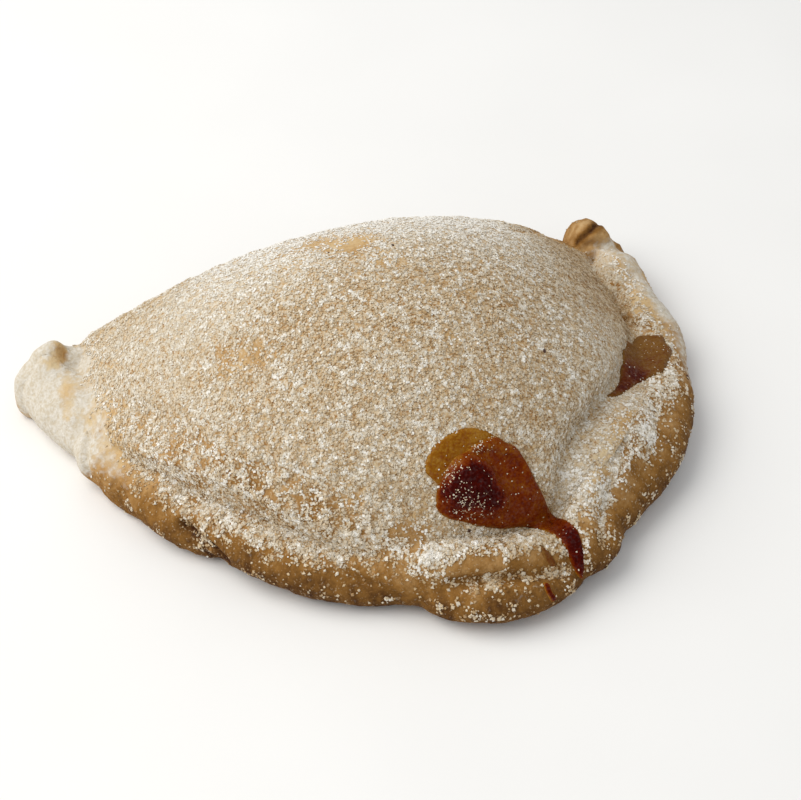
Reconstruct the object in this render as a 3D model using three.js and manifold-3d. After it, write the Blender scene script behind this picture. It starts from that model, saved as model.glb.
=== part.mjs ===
// A sugared half-moon pineapple turnover: one plump piece of baked dough, sealed
// round its curved edge by a hand-rolled rope of folds, with two leaks of
// caramelised pineapple jam lying on the crust.
//
// Units are millimetres and +Z is up. The turnover rests on its flat underside at
// z = 0. The straight fold of the half-moon runs along X at the back (+Y) and the
// rolled edge curves round the front (-Y). The origin is the middle of its footprint.
import * as THREE from 'three';
import { mergeVertices } from 'three/addons/utils/BufferGeometryUtils.js';
import Module from 'manifold-3d';

// ---- Plan of the half-moon --------------------------------------------------------
const HALF_SPAN = 69.4; // from the middle of the fold to a tip
const DEPTH = 86.4; // from the fold line to the front of the rolled edge
const BACK_BULGE = 7.0; // how far the filled fold swells behind the fold line
const LEAN = 6.8; // how far the front of the curve leans to the right
const LEFT_FULLNESS = 1.56; // superellipse exponent at the left, slightly pointed
const RIGHT_FULLNESS = 2.1; // and at the right, nearly round
const BACK_FULLNESS = 2.7; // and along the fold, squarer
const FOLD_LINE = { x: 3.3, y: 2.7 }; // middle of the fold line

// ---- Filled dome ------------------------------------------------------------------
const HEIGHT = 41.9;
const HUB = { x: 4, y: -32 }; // sections of the crust fan out from here
const DOME = {
  middle: 1.3, // x of the middle of the filling
  halfSpan: 63.0,
  depth: 76.0, // from the fold line to the filling's front edge
  leftFullness: 1.95, // superellipse exponents of the filling's front edge
  rightFullness: 2.2,
  backFlatness: 4, // the filling's back edge is nearly straight
  taper: 0.82, // how the crest falls towards the tips
  frontFullness: 0.55, // how steeply the crust falls in front of the crest
  backFullness: 0.62,
  crest: 0.42, // the crest lies this part of the way from the back to the front
  waist: 6.0, // height of the crust's widest line
};
const DOME_INSET = 6.0; // the dome's foot lies this far inside the rolled edge
const UNDERCUT = 5.5; // how far the fold tucks in under its widest line

// ---- Rolled edge ------------------------------------------------------------------
// Each fold is a tapered roll. from and to are places along the rolled edge, where 0 is
// the left tip and 1 the right tip. inset and height say where its axis starts and ends.
const FOLDS = [
  { name: 'left ear', from: -0.055, to: 0.12, inset: [9.0, 9.1], height: [6.6, 5.0], wide: 9.3, tall: 7.6 },
  { name: 'first', from: 0.07, to: 0.195, inset: [8.3, 4.0], height: [6.2, 3.8], wide: 7.3, tall: 5.6 },
  { name: 'second', from: 0.128, to: 0.265, inset: [7.8, 4.4], height: [7.0, 3.6], wide: 7.4, tall: 5.6 },
  { name: 'third', from: 0.203, to: 0.43, inset: [6.1, 7.2], height: [7.4, 3.6], wide: 7.9, tall: 5.8 },
  { name: 'front inner', from: 0.335, to: 0.6, inset: [9.8, 6.4], height: [8.0, 7.6], wide: 5.4, tall: 5.2 },
  { name: 'front outer', from: 0.428, to: 0.576, inset: [5.2, 4.0], height: [4.6, 5.0], wide: 7.5, tall: 5.0 },
  { name: 'corner', from: 0.55, to: 0.638, inset: [4.6, 9.3], height: [6.6, 4.4], wide: 7.8, tall: 6.0 },
  { name: 'right inner', from: 0.56, to: 0.815, inset: [9.0, 11.6], height: [8.8, 8.4], wide: 5.6, tall: 5.4 },
  { name: 'right outer', from: 0.608, to: 0.883, inset: [8.3, 6.8], height: [5.6, 6.2], wide: 7.9, tall: 6.4 },
  { name: 'upper right', from: 0.8, to: 0.948, inset: [6.8, 9.8], height: [5.6, 5.8], wide: 8.4, tall: 5.8 },
  { name: 'last', from: 0.92, to: 1.01, inset: [9.6, 9.6], height: [6.2, 6.4], wide: 6.8, tall: 6.2 },
];
const EDGE_CORE = { inset: 7.5, height: 5.2, wide: 5.6, tall: 5.4 }; // plain roll under the folds
const CORE_FADE = [0.02, 0.09]; // the plain roll fades out between these places past a tip
const END_CURLS = [
  { name: 'left', at: [-57.6, 0.5, 4.9], radii: [9.7, 5.1, 10.9] },
  { name: 'right', at: [61.9, 3.1, 7.5], radii: [5.0, 6.2, 6.5] },
];
const FOLD_TAPER = 0.45; // smaller is blunter
const FOLD_DIP = 0.45; // a fold's axis sinks by this part of its height towards its ends
const TRAY_CLEARANCE = 0.5; // the curls stay just clear of the tray
const BLEND = 0.5; // softness of the creases where rolls meet
// Pressed into the crust at the right: a valley at the dome's foot and the ridge beside
// it. Each is a rise round a place along the rolled edge and an inset from the outline.
const PRESSED = [
  { name: 'right valley', place: 0.672, length: 0.055, inset: 15.0, width: 3.0, rise: -3.4 },
  { name: 'right ridge', place: 0.672, length: 0.055, inset: 10.8, width: 3.2, rise: 2.2 },
];

// ---- Poles ------------------------------------------------------------------------
// A section's outer half is drawn by rays from its pole, a point inside the rolled edge.
const POLE_HEIGHT = 2.5; // above the tray
const POLE_INSET = { front: 9.5, back: 12 };
const WIDE_EDGE = { place: 0.67, length: 0.09, by: 3.5 }; // the pole moves in where the edge is wide
const LEAST_SLANT = 0.35; // a section never crosses the outline flatter than this
const BACK_FADE = 0.45; // how soon past a tip the rolled edge gives way to the filled fold
const LAST_TURN = Math.PI + 0.6; // the rays end here, tucked in under the rolled edge

// ---- Jam --------------------------------------------------------------------------
// Each leak lies along a line in plan. Its half-widths and thicknesses are evenly spaced
// along that line, and are joined by straight lines.
const JAM_GAP = 0.35; // clearance between the jam's skin and the crust
const JAM_EDGE = 0.35; // thickness at the sides, as a part of the thickness in the middle
const SLOPE_REACH = 1.0; // the crust's slope is taken over this distance
const JAM_FRONT = {
  line: [[-1.5, -65.0], [6.0, -66.0], [13.5, -67.8], [19.5, -71.6], [22.2, -76.0], [22.4, -80.4]],
  halfWidths: [0.8, 4.2, 5.2, 5.2, 4.8, 3.8, 2.2, 1.2, 1.1, 1.0, 0.6],
  thickness: [0.8, 2.4, 3.0, 3.0, 2.4, 1.8, 1.4, 1.2, 1.2, 1.1, 0.8],
  steps: 26,
};
const JAM_SIDE = {
  line: [[48.5, -44.5], [56.5, -38.8], [64.4, -34.6]],
  halfWidths: [1.2, 4.2, 5.6, 5.8, 4.6, 1.6],
  thickness: [0.8, 1.3, 1.6, 1.5, 1.2, 0.8],
  steps: 12,
};
const JAM_STRIPS = 8; // facets across a leak

// ---- Fineness of the faceted solids -----------------------------------------------
const EDGE_STATIONS = 108;
const BACK_STATIONS = 34;
const SECTION_ROWS = 25;
const FINE = 240; // samples of a curve before it is cut into equal steps

const smoothstep = (a, b, x) => {
  const t = Math.min(1, Math.max(0, (x - a) / (b - a)));
  return t * t * (3 - 2 * t);
};
const bell = (x, centre, width) => Math.exp(-(((x - centre) / width) ** 2));
const mix = (a, b, t) => a + (b - a) * t;

/** Value of a list of evenly spaced heights at t between 0 and 1, joined by straight lines. */
function along(list, t) {
  const place = Math.min(Math.max(t, 0), 1) * (list.length - 1);
  const index = Math.min(Math.floor(place), list.length - 2);
  return mix(list[index], list[index + 1], place - index);
}

/** Plan outline: 0 to PI runs round the front from the left tip, PI to 2 PI back along the fold. */
function outlinePoint(t) {
  const c = Math.cos(t);
  const s = Math.sin(t);
  const front = t <= Math.PI;
  const full = front ? mix(LEFT_FULLNESS, RIGHT_FULLNESS, (1 - c) / 2) : BACK_FULLNESS;
  const across = Math.sign(c) * Math.abs(c) ** (2 / full);
  const out = Math.abs(s) ** (2 / full);
  const lean = front ? LEAN * out * out : 0;
  return new THREE.Vector2(
    FOLD_LINE.x - HALF_SPAN * across + lean,
    FOLD_LINE.y + (front ? -DEPTH : BACK_BULGE) * out,
  );
}

/** The outline measured by its length, so that points can be asked for at a distance. */
class MeasuredOutline {
  constructor(samples) {
    this.points = [];
    this.lengths = [0];
    for (let i = 0; i <= samples; i++) this.points.push(outlinePoint((2 * Math.PI * i) / samples));
    for (let i = 1; i <= samples; i++) {
      this.lengths.push(this.lengths[i - 1] + this.points[i].distanceTo(this.points[i - 1]));
    }
    this.total = this.lengths[samples];
    this.front = this.lengths[samples / 2];
  }

  at(distance) {
    const wrapped = ((distance % this.total) + this.total) % this.total;
    let low = 0;
    let high = this.lengths.length - 1;
    while (high - low > 1) {
      const middle = (low + high) >> 1;
      if (this.lengths[middle] <= wrapped) low = middle;
      else high = middle;
    }
    const step = this.lengths[high] - this.lengths[low];
    return this.points[low].clone().lerp(this.points[high], (wrapped - this.lengths[low]) / step);
  }

  /** Outward direction, taken over a few millimetres so that it turns smoothly at the tips. */
  outward(distance) {
    const reach = 4;
    const step = this.at(distance + reach).sub(this.at(distance - reach)).normalize();
    return new THREE.Vector2(step.y, -step.x);
  }
}

/** Height of the filled crust over a plan point, never below its waist. */
function domeHeight(x, y) {
  const forward = Math.min(1.2, Math.max(0, (FOLD_LINE.y - y) / DEPTH));
  const across = THREE.MathUtils.clamp((x - LEAN * forward ** 2 - DOME.middle) / DOME.halfSpan, -1, 1);
  const full = mix(DOME.leftFullness, DOME.rightFullness, (across + 1) / 2);
  const front = FOLD_LINE.y - DOME.depth * (1 - Math.abs(across) ** full) ** (1 / full);
  const back = FOLD_LINE.y + 1 + BACK_BULGE * Math.sqrt(1 - Math.abs(across) ** DOME.backFlatness);
  const crest = mix(back, front, DOME.crest);
  const ahead = y < crest;
  const off = ahead ? (crest - y) / Math.max(0.5, crest - front) : (y - crest) / Math.max(0.5, back - crest);
  const fall = Math.max(0, 1 - off * off) ** (ahead ? DOME.frontFullness : DOME.backFullness);
  const top = HEIGHT * (1 - across ** 2) ** DOME.taper;
  return DOME.waist + Math.max(0, top - DOME.waist) * fall;
}

/** Everything a section needs to know about its place along the outline. */
function stationAt(outline, distance) {
  const rim = outline.at(distance);
  const inward = new THREE.Vector2(HUB.x, HUB.y).sub(rim);
  const reach = inward.length();
  inward.normalize();
  const slant = Math.min(1, Math.max(LEAST_SLANT, -inward.dot(outline.outward(distance))));
  const past = distance - outline.front;
  const backLength = outline.total - outline.front;
  const onBack = past > 0 ? Math.sin((Math.PI * past) / backLength) : 0;
  const back = smoothstep(0, BACK_FADE, onBack);
  const place = (past > backLength / 2 ? distance - outline.total : distance) / outline.front;
  const wide = WIDE_EDGE.by * bell(place, WIDE_EDGE.place, WIDE_EDGE.length);
  const pole = mix(POLE_INSET.front + wide, POLE_INSET.back * slant, back);
  return { rim, inward, reach, slant, back, place, pole };
}

/** Section of the filled dome from the hub down to its tucked-in foot, as inset and height. */
function domeSection({ rim, inward, reach, slant, back }) {
  const foot = DOME_INSET * (1 - back);
  const section = [];
  for (let i = 0; i <= FINE; i++) {
    const inset = reach - (reach - foot) * Math.sin((Math.PI / 2) * (i / FINE));
    const plan = rim.clone().addScaledVector(inward, inset);
    section.push([inset * slant, domeHeight(plan.x, plan.y)]);
  }
  const waist = section[FINE][1];
  const tuckSteps = 30;
  for (let i = 1; i <= tuckSteps; i++) {
    const turn = (Math.PI / 2) * (i / tuckSteps);
    section.push([(foot + UNDERCUT * (1 - Math.cos(turn))) * slant, waist * (1 - Math.sin(turn))]);
  }
  return section;
}

/** Distance along a ray from the pole to the far side of an ellipse, or 0 where it misses. */
function ellipseHit(dx, dz, mx, mz) {
  const a = dx * dx + dz * dz;
  const b = mx * dx + mz * dz;
  const c = mx * mx + mz * mz - 1;
  const inside = b * b - a * c;
  return inside > 0 ? (-b + Math.sqrt(inside)) / a : 0;
}

/** Distances at which a ray of this station leaves each roll. */
function rollHits({ pole, place }, c, s) {
  const hits = [];
  const roll = (inset, height, wide, tall) => {
    hits.push(ellipseHit(c / wide, s / tall, (pole - inset) / wide, (POLE_HEIGHT - height) / tall));
  };
  const past = Math.max(-place, place - 1);
  const core = 1 - smoothstep(...CORE_FADE, past);
  if (core > 0.02) roll(EDGE_CORE.inset, EDGE_CORE.height, EDGE_CORE.wide * core, EDGE_CORE.tall * core);
  for (const fold of FOLDS) {
    if (place <= fold.from || place >= fold.to) continue;
    const t = (place - fold.from) / (fold.to - fold.from);
    const swell = (4 * t * (1 - t)) ** FOLD_TAPER;
    const height = mix(...fold.height, t) * (1 - FOLD_DIP * (1 - swell));
    roll(mix(...fold.inset, t), height, fold.wide * swell, fold.tall * swell);
  }
  return hits;
}

/** Soft maximum of several distances: the outermost surface, with rounded creases. */
function outermost(distances) {
  const most = Math.max(...distances);
  return most + BLEND * Math.log(distances.reduce((sum, d) => sum + Math.exp((d - most) / BLEND), 0));
}

/** Height added to the crust by what is pressed into it. */
function pressed(place, inset) {
  let rise = 0;
  for (const mark of PRESSED) {
    rise += mark.rise * bell(place, mark.place, mark.length) * bell(inset, mark.inset, mark.width);
  }
  return rise;
}

/** Points of one section in space, from the hub to the flat underside, in equal steps. */
function sectionPoints(station) {
  const dome = domeSection(station);
  const polar = dome.map(([inset, height]) => {
    const angle = Math.atan2(height - POLE_HEIGHT, inset - station.pole);
    return {
      angle: angle < -Math.PI / 2 ? angle + 2 * Math.PI : angle,
      distance: Math.hypot(height - POLE_HEIGHT, inset - station.pole),
    };
  });
  const path = [];
  let next = 0;
  for (let i = 0; i <= FINE; i++) {
    const angle = mix(polar[0].angle, LAST_TURN, i / FINE);
    while (next < polar.length - 2 && polar[next + 1].angle < angle) next++;
    const [a, b] = [polar[next], polar[next + 1]];
    const t = Math.min(1, Math.max(0, (angle - a.angle) / Math.max(1e-9, b.angle - a.angle)));
    const [c, s] = [Math.cos(angle), Math.sin(angle)];
    let distance = outermost([mix(a.distance, b.distance, t), ...rollHits(station, c, s)]);
    if (s < 0) distance = Math.min(distance, POLE_HEIGHT / -s);
    const inset = station.pole + distance * c;
    const rise = Math.max(0, s) * pressed(station.place, inset);
    path.push(new THREE.Vector2(inset, POLE_HEIGHT + distance * s + rise));
  }
  return equalSteps(path, SECTION_ROWS).map(({ x: inset, y: height }) => {
    const plan = station.rim.clone().addScaledVector(station.inward, inset / station.slant);
    return new THREE.Vector3(plan.x, plan.y, Math.max(0, height));
  });
}

/** The same path cut into equal steps. */
function equalSteps(path, steps) {
  const lengths = [0];
  for (let i = 1; i < path.length; i++) lengths.push(lengths[i - 1] + path[i].distanceTo(path[i - 1]));
  const total = lengths[lengths.length - 1];
  const result = [];
  let next = 0;
  for (let i = 0; i <= steps; i++) {
    const wanted = (total * i) / steps;
    while (next < path.length - 2 && lengths[next + 1] < wanted) next++;
    const t = (wanted - lengths[next]) / Math.max(1e-9, lengths[next + 1] - lengths[next]);
    result.push(path[next].clone().lerp(path[next + 1], Math.min(1, t)));
  }
  return result;
}

/** Closed body from sections that fan round the hub, with a flat underside. */
function pastryGeometry() {
  const outline = new MeasuredOutline(4000);
  const sections = [];
  const backLength = outline.total - outline.front;
  for (let i = 0; i < EDGE_STATIONS; i++) {
    sections.push(sectionPoints(stationAt(outline, (outline.front * i) / EDGE_STATIONS)));
  }
  for (let i = 0; i < BACK_STATIONS; i++) {
    const distance = outline.front + (backLength * i) / BACK_STATIONS;
    sections.push(sectionPoints(stationAt(outline, distance)));
  }
  const top = sections[0][0];
  const vertices = [top.x, top.y, top.z, HUB.x, HUB.y, 0];
  for (const section of sections) {
    for (const point of section.slice(1)) vertices.push(point.x, point.y, point.z);
  }
  const indices = [];
  const count = sections.length;
  const id = (station, row) => 2 + (station % count) * SECTION_ROWS + row;
  for (let i = 0; i < count; i++) {
    indices.push(0, id(i, 0), id(i + 1, 0));
    for (let row = 0; row < SECTION_ROWS - 1; row++) {
      indices.push(id(i, row), id(i, row + 1), id(i + 1, row));
      indices.push(id(i + 1, row), id(i, row + 1), id(i + 1, row + 1));
    }
    indices.push(1, id(i + 1, SECTION_ROWS - 1), id(i, SECTION_ROWS - 1));
  }
  const geometry = new THREE.BufferGeometry();
  geometry.setAttribute('position', new THREE.Float32BufferAttribute(vertices, 3));
  geometry.setIndex(indices);
  return geometry;
}

/** Where the crust lies under a plan point. */
function crustUnder(crust, x, y) {
  const down = new THREE.Raycaster(new THREE.Vector3(x, y, 2 * HEIGHT), new THREE.Vector3(0, 0, -1));
  return down.intersectObject(crust)[0].point;
}

/** Outward direction of the crust at a plan point, evened over its facets. */
function crustSlope(crust, x, y) {
  const reach = SLOPE_REACH;
  const east = crustUnder(crust, x + reach, y).sub(crustUnder(crust, x - reach, y));
  const north = crustUnder(crust, x, y + reach).sub(crustUnder(crust, x, y - reach));
  return east.cross(north).normalize();
}

/** A tongue of jam that lies on the crust along a bent line: a closed skin on an even gap. */
function jamGeometry(crust, leak) {
  const line = new THREE.SplineCurve(leak.line.map(([x, y]) => new THREE.Vector2(x, y)));
  const vertices = [];
  for (let i = 0; i <= leak.steps; i++) {
    const t = i / leak.steps;
    const middle = line.getPointAt(t);
    const tangent = line.getTangentAt(t);
    const half = along(leak.halfWidths, t);
    const thickness = along(leak.thickness, t);
    for (let j = 0; j <= JAM_STRIPS; j++) {
      const side = (2 * j) / JAM_STRIPS - 1;
      const x = middle.x - tangent.y * half * side;
      const y = middle.y + tangent.x * half * side;
      const outward = crustSlope(crust, x, y);
      const rise = thickness * mix(JAM_EDGE, 1, Math.sqrt(1 - side * side));
      const under = crustUnder(crust, x, y).addScaledVector(outward, JAM_GAP);
      const over = under.clone().addScaledVector(outward, rise);
      vertices.push(...under.toArray(), ...over.toArray());
    }
  }
  return skinOfStrips(vertices, leak.steps, JAM_STRIPS);
}

/** Closes a grid of paired lower and upper points into one body. */
function skinOfStrips(vertices, steps, strips) {
  const low = (i, j) => 2 * (i * (strips + 1) + j);
  const high = (i, j) => low(i, j) + 1;
  const indices = [];
  const quad = (a, b, c, d) => indices.push(a, b, c, a, c, d);
  for (let i = 0; i < steps; i++) {
    for (let j = 0; j < strips; j++) {
      quad(high(i, j), high(i + 1, j), high(i + 1, j + 1), high(i, j + 1));
      quad(low(i, j), low(i, j + 1), low(i + 1, j + 1), low(i + 1, j));
    }
    quad(low(i, 0), low(i + 1, 0), high(i + 1, 0), high(i, 0));
    quad(low(i, strips), high(i, strips), high(i + 1, strips), low(i + 1, strips));
  }
  for (let j = 0; j < strips; j++) {
    quad(low(0, j), high(0, j), high(0, j + 1), low(0, j + 1));
    quad(low(steps, j), low(steps, j + 1), high(steps, j + 1), high(steps, j));
  }
  const geometry = new THREE.BufferGeometry();
  geometry.setAttribute('position', new THREE.Float32BufferAttribute(vertices, 3));
  geometry.setIndex(indices);
  return geometry;
}

/** A named piece with its own material. */
function piece(name, geometry, color, roughness) {
  geometry.computeVertexNormals();
  const mesh = new THREE.Mesh(geometry, new THREE.MeshStandardMaterial({ color, roughness, metalness: 0 }));
  mesh.name = name;
  return mesh;
}

/** Solid of a closed geometry, ready to be joined. */
function solidOf(wasm, geometry) {
  const bare = geometry.clone();
  bare.deleteAttribute('normal');
  bare.deleteAttribute('uv');
  const merged = mergeVertices(bare, 1e-4);
  return new wasm.Manifold(new wasm.Mesh({
    numProp: 3,
    vertProperties: new Float32Array(merged.attributes.position.array),
    triVerts: new Uint32Array(merged.index.array),
  }));
}

/** The body of the turnover with a curled end of dough joined on at each tip. */
async function joinedPastry() {
  const wasm = await Module();
  wasm.setup();
  let solid = solidOf(wasm, pastryGeometry());
  for (const { at, radii } of END_CURLS) {
    const curl = new THREE.SphereGeometry(1, 20, 14).scale(...radii).translate(...at);
    const position = curl.attributes.position;
    for (let i = 0; i < position.count; i++) position.setZ(i, Math.max(TRAY_CLEARANCE, position.getZ(i)));
    solid = solid.add(solidOf(wasm, curl));
  }
  const { vertProperties, triVerts } = solid.getMesh();
  const geometry = new THREE.BufferGeometry();
  geometry.setAttribute('position', new THREE.Float32BufferAttribute(vertProperties, 3));
  geometry.setIndex([...triVerts]);
  return geometry;
}

async function buildTurnover() {
  const pastry = piece('pastry', await joinedPastry(), 0xc8a67e, 0.85);
  const front = piece('jam_leak_front', jamGeometry(pastry, JAM_FRONT), 0x4a1408, 0.2);
  const side = piece('jam_leak_side', jamGeometry(pastry, JAM_SIDE), 0x5e3714, 0.25);
  const turnover = new THREE.Group();
  turnover.add(pastry, front, side);
  const box = new THREE.Box3().setFromObject(turnover);
  turnover.position.set(-(box.min.x + box.max.x) / 2, -(box.min.y + box.max.y) / 2, 0);
  return turnover;
}

export default await buildTurnover();
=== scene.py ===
import itertools
import math

import bmesh
import bpy
import numpy as np
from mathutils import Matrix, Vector
from mathutils.bvhtree import BVHTree
from mathutils.geometry import delaunay_2d_cdt


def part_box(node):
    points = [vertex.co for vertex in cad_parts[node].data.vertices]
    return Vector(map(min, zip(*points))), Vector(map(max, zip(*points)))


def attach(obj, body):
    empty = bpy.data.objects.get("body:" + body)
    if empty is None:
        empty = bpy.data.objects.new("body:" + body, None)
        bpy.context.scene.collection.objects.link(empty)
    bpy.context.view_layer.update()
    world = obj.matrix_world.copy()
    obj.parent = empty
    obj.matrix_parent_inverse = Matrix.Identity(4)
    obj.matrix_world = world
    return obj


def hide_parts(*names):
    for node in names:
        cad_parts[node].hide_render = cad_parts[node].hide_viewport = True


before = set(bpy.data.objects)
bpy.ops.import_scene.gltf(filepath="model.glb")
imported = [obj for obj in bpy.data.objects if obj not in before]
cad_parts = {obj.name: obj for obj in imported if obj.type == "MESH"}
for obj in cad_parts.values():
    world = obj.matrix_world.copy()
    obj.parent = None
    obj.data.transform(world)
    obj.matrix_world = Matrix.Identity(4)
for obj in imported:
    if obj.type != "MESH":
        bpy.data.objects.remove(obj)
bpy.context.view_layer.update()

MM = 0.001

# ---- Plan of the half-moon, as in the CAD model
HALF_SPAN = 69.4
DEPTH = 86.4
BACK_BULGE = 7.0
LEAN = 6.8
LEFT_FULLNESS = 1.56
RIGHT_FULLNESS = 2.1
BACK_FULLNESS = 2.7
FOLD_LINE = (3.3, 2.7)
HUB = np.array([4.0, -32.0])  # sections of the crust fan out from here
OUTWARD_REACH = 4.0  # the rim's direction is taken over this distance

# ---- Filled dome
HEIGHT = 41.9
DOME_MIDDLE = 1.3
DOME_HALF_SPAN = 63.0
DOME_DEPTH = 76.0
DOME_FULLNESS = (1.95, 2.2)
DOME_BACK_FLATNESS = 4
DOME_TAPER = 0.82
DOME_FRONT_FALL = 0.55
DOME_BACK_FALL = 0.62
DOME_CREST = 0.42
DOME_WAIST = 6.0
DOME_INSET = 6.0
UNDERCUT = 5.5
DOME_SAMPLES = 160
FOOT_SAMPLES = 31

# ---- Rolled edge: name, from, to, inset, height, half width, half height
FOLDS = [
    ("left ear", -0.055, 0.12, (9.0, 9.1), (6.6, 5.0), 9.3, 7.6),
    ("first", 0.07, 0.195, (8.3, 4.0), (6.2, 3.8), 7.3, 5.6),
    ("second", 0.128, 0.265, (7.8, 4.4), (7.0, 3.6), 7.4, 5.6),
    ("third", 0.203, 0.43, (6.1, 7.2), (7.4, 3.6), 7.9, 5.8),
    ("front inner", 0.335, 0.6, (9.8, 6.4), (8.0, 7.6), 5.4, 5.2),
    ("front outer", 0.428, 0.576, (5.2, 4.0), (4.6, 5.0), 7.5, 5.0),
    ("corner", 0.55, 0.638, (4.6, 9.3), (6.6, 4.4), 7.8, 6.0),
    ("right inner", 0.56, 0.815, (9.0, 11.6), (8.8, 8.4), 5.6, 5.4),
    ("right outer", 0.608, 0.883, (8.3, 6.8), (5.6, 6.2), 7.9, 6.4),
    ("upper right", 0.8, 0.948, (6.8, 9.8), (5.6, 5.8), 8.4, 5.8),
    ("last", 0.92, 1.01, (9.6, 9.6), (6.2, 6.4), 6.8, 6.2),
]
EDGE_CORE = (7.5, 5.2, 5.6, 5.4)
CORE_FADE = (0.02, 0.09)  # how far past the tips the core thins out
CORE_END = 0.02
FOLD_TAPER = 0.45
FOLD_LIFT = (0.55, 0.45)  # share of a fold's height at its ends, and what its swell adds
BLEND = 0.42  # roundness of the creases between folds
LEAST_SLANT = 0.35
# Rays that cut a section start at a pole: its height, and its inset along the rim
POLE_HEIGHT = 2.5
EDGE_MIDDLE = 9.5
BACK_MIDDLE = 12
RIGHT_WIDENING = (0.67, 0.09, 3.5)  # place, length, how much further in
BACK_FADE = 0.45
LAST_RAY = math.pi + 0.6
# Curled ends of dough: centre, radii
END_CURLS = [
    ((-57.6, 0.5, 4.9), (9.7, 5.1, 10.9)),
    ((61.9, 3.1, 7.5), (5.0, 6.2, 6.5)),
]
CURL_FINENESS = (72, 44)
CURL_UNEVENNESS = 0.1
TRAY_CLEARANCE = 0.5

# ---- Fineness
EDGE_STATIONS = 640
BACK_STATIONS = 110
SECTION_ROWS = 122
SECTION_SAMPLES = 420
EDGE_ZONE = (16.0, 26.0)  # sections are cut finer outside this band of insets
EDGE_FINENESS = 1.5
HUB_CLEAR = 14.0
HUB_MERGE = 0.24

# ---- Creases between folds
# The lip stands up on the left of the crease, seen from outside, going along it. Sugar is what has caught
# in the crease; brown is painted shade that darkens the dough along it.
CREASES = [
    dict(depth=1.1, width=0.9, lip=0.5, route=[
        (-59, -27, 3), (-58.3, -26, 5), (-57.3, -24, 8), (-55.4, -19.5, 10.2)]),
    dict(depth=0.8, width=0.9, lip=0.5, route=[
        (-53.7, -31.5, 8.6), (-53.1, -34.3, 7.3), (-52, -37.4, 5.8), (-51, -40, 3.5)]),
    dict(depth=1.6, width=1.4, lip=0.7, brown=0.22, route=[
        (-44.5, -46, 8.6), (-43.2, -48.5, 7.6), (-41.4, -51.5, 6.8), (-39.5, -54.7, 6), (-37.6, -58, 4)]),
    dict(depth=0.8, width=0.9, lip=0.5, route=[
        (-19.3, -67.7, 9.8), (-17.5, -70.7, 8.3), (-13.3, -73.9, 7), (-9, -77, 4.6)]),
    dict(depth=1.5, width=1.2, lip=0.6, sugar=0.55, brown=0.14, route=[
        (-3.8, -77.8, 9.4), (-1.1, -79, 9.2), (3.3, -80.3, 9.5), (7, -81.2, 9.8), (10.8, -81.7, 9.6),
        (14.6, -82.2, 9), (18.5, -82.4, 7.6), (21.5, -82.1, 6.5)]),
    dict(depth=1.2, width=1.6, lip=0.2, sugar=0.6, route=[
        (28, -80.5, 7), (28.5, -79, 9.5), (29.9, -75.1, 10.5), (32, -71.4, 11.4), (35.2, -66.5, 13.5),
        (39.2, -62.7, 13.9), (42, -60.4, 13.9)]),
    dict(depth=0.5, width=2.0, lip=0.1, route=[
        (39.2, -62.7, 13.9), (43, -59.5, 13.8), (47.7, -54.9, 13.2), (52.2, -51, 12.4)]),
    dict(depth=1.2, width=0.9, lip=0.5, brown=0.5, route=[
        (57.4, -21.6, 10.4), (58.3, -23.6, 10.4), (58.9, -26.3, 10.5), (59.9, -28.8, 10.6),
        (62.2, -30.9, 10.8)]),
    dict(depth=0.7, width=0.9, lip=0.3, brown=0.15, route=[
        (60.5, -7.5, 11.4), (63, -10.2, 12.2), (67, -12.5, 9.5)]),
    dict(depth=1.0, width=0.9, lip=0.3, route=[
        (58.6, -0.6, 10.5), (60.6, -1.1, 11.8), (62.8, -1.6, 11.6), (66.6, -3.4, 10.5)]),
    dict(depth=0.8, width=0.7, lip=0.4, brown=0.5, route=[
        (65.5, 4.6, 13), (64.2, 3.4, 13.6), (62.4, 1.8, 13.8), (61.2, 1.2, 13.5), (60, 0.8, 12.9),
        (58.8, 0.9, 11.7), (58, 1.6, 10.5)]),
    dict(depth=0.3, width=1.0, lip=0.1, brown=0.14, route=[
        (-56.4, 0.5, 15.6), (-56, -0.9, 15), (-55.3, -1.8, 14), (-54.6, -2.1, 12.4)]),
]
CREASE_REACH = 8.0
CREASE_LIP_WIDTH = 3.0
CREASE_SHADE_REACH = 6.0
CREASE_SHADE_WIDTH = 1.0

# ---- Valley at the dome's foot: place, inset, extra depth
VALLEY = [
    (-0.05, 13, 0), (0, 12, 0.3), (0.09, 10, 0.7), (0.14, 10, 1), (0.19, 9, 0.7), (0.24, 7.5, 0.2),
    (0.29, 8.5, 0.3), (0.35, 10, 0.4), (0.43, 11.5, 0.5), (0.47, 12, 0.4), (0.55, 9, 0.4),
    (0.589, 11.6, 2), (0.616, 14, 3.4), (0.658, 15.4, 4.2), (0.715, 15.2, 4.2), (0.75, 14.2, 3.4),
    (0.8, 13.4, 1.8), (0.87, 11.5, 0.9), (0.92, 11.5, 0.7), (0.96, 12, 0.5), (1.05, 14.5, 0),
]
VALLEY_WIDTH = 2.1
# ---- Ridge beside the right valley: place, inset, height
RIDGE = [
    (0.57, 7, 0), (0.6, 9.2, 1.5), (0.627, 10.6, 2.4), (0.674, 11, 2.8), (0.733, 10.8, 2.3),
    (0.77, 9.5, 0.9), (0.8, 8, 0),
]
RIDGE_WIDTH = 3.4

# ---- Waves of the crust's skin: size, height
DOME_SWELL = (14.0, 0.9)
PUCKER = (3.2, 0.25, 0.3)  # and how much more on the rolled edge
STRETCH_MARKS = 0.25
EDGE_INSETS = (12, 18)  # the rolled edge's skin passes into the dome's
DOME_ALLOWANCE = 0.5  # the dome's skin is sunk to leave room for its sugar
# Thickness of the caked sugar, its unevenness, and how much more uneven on the edge
CAKED = (0.25, 0.35, 0.35)
CAKED_SIZE = 1.1
STILL_FOOT = (0.3, 2.0)  # heights over which the skin's relief begins

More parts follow.
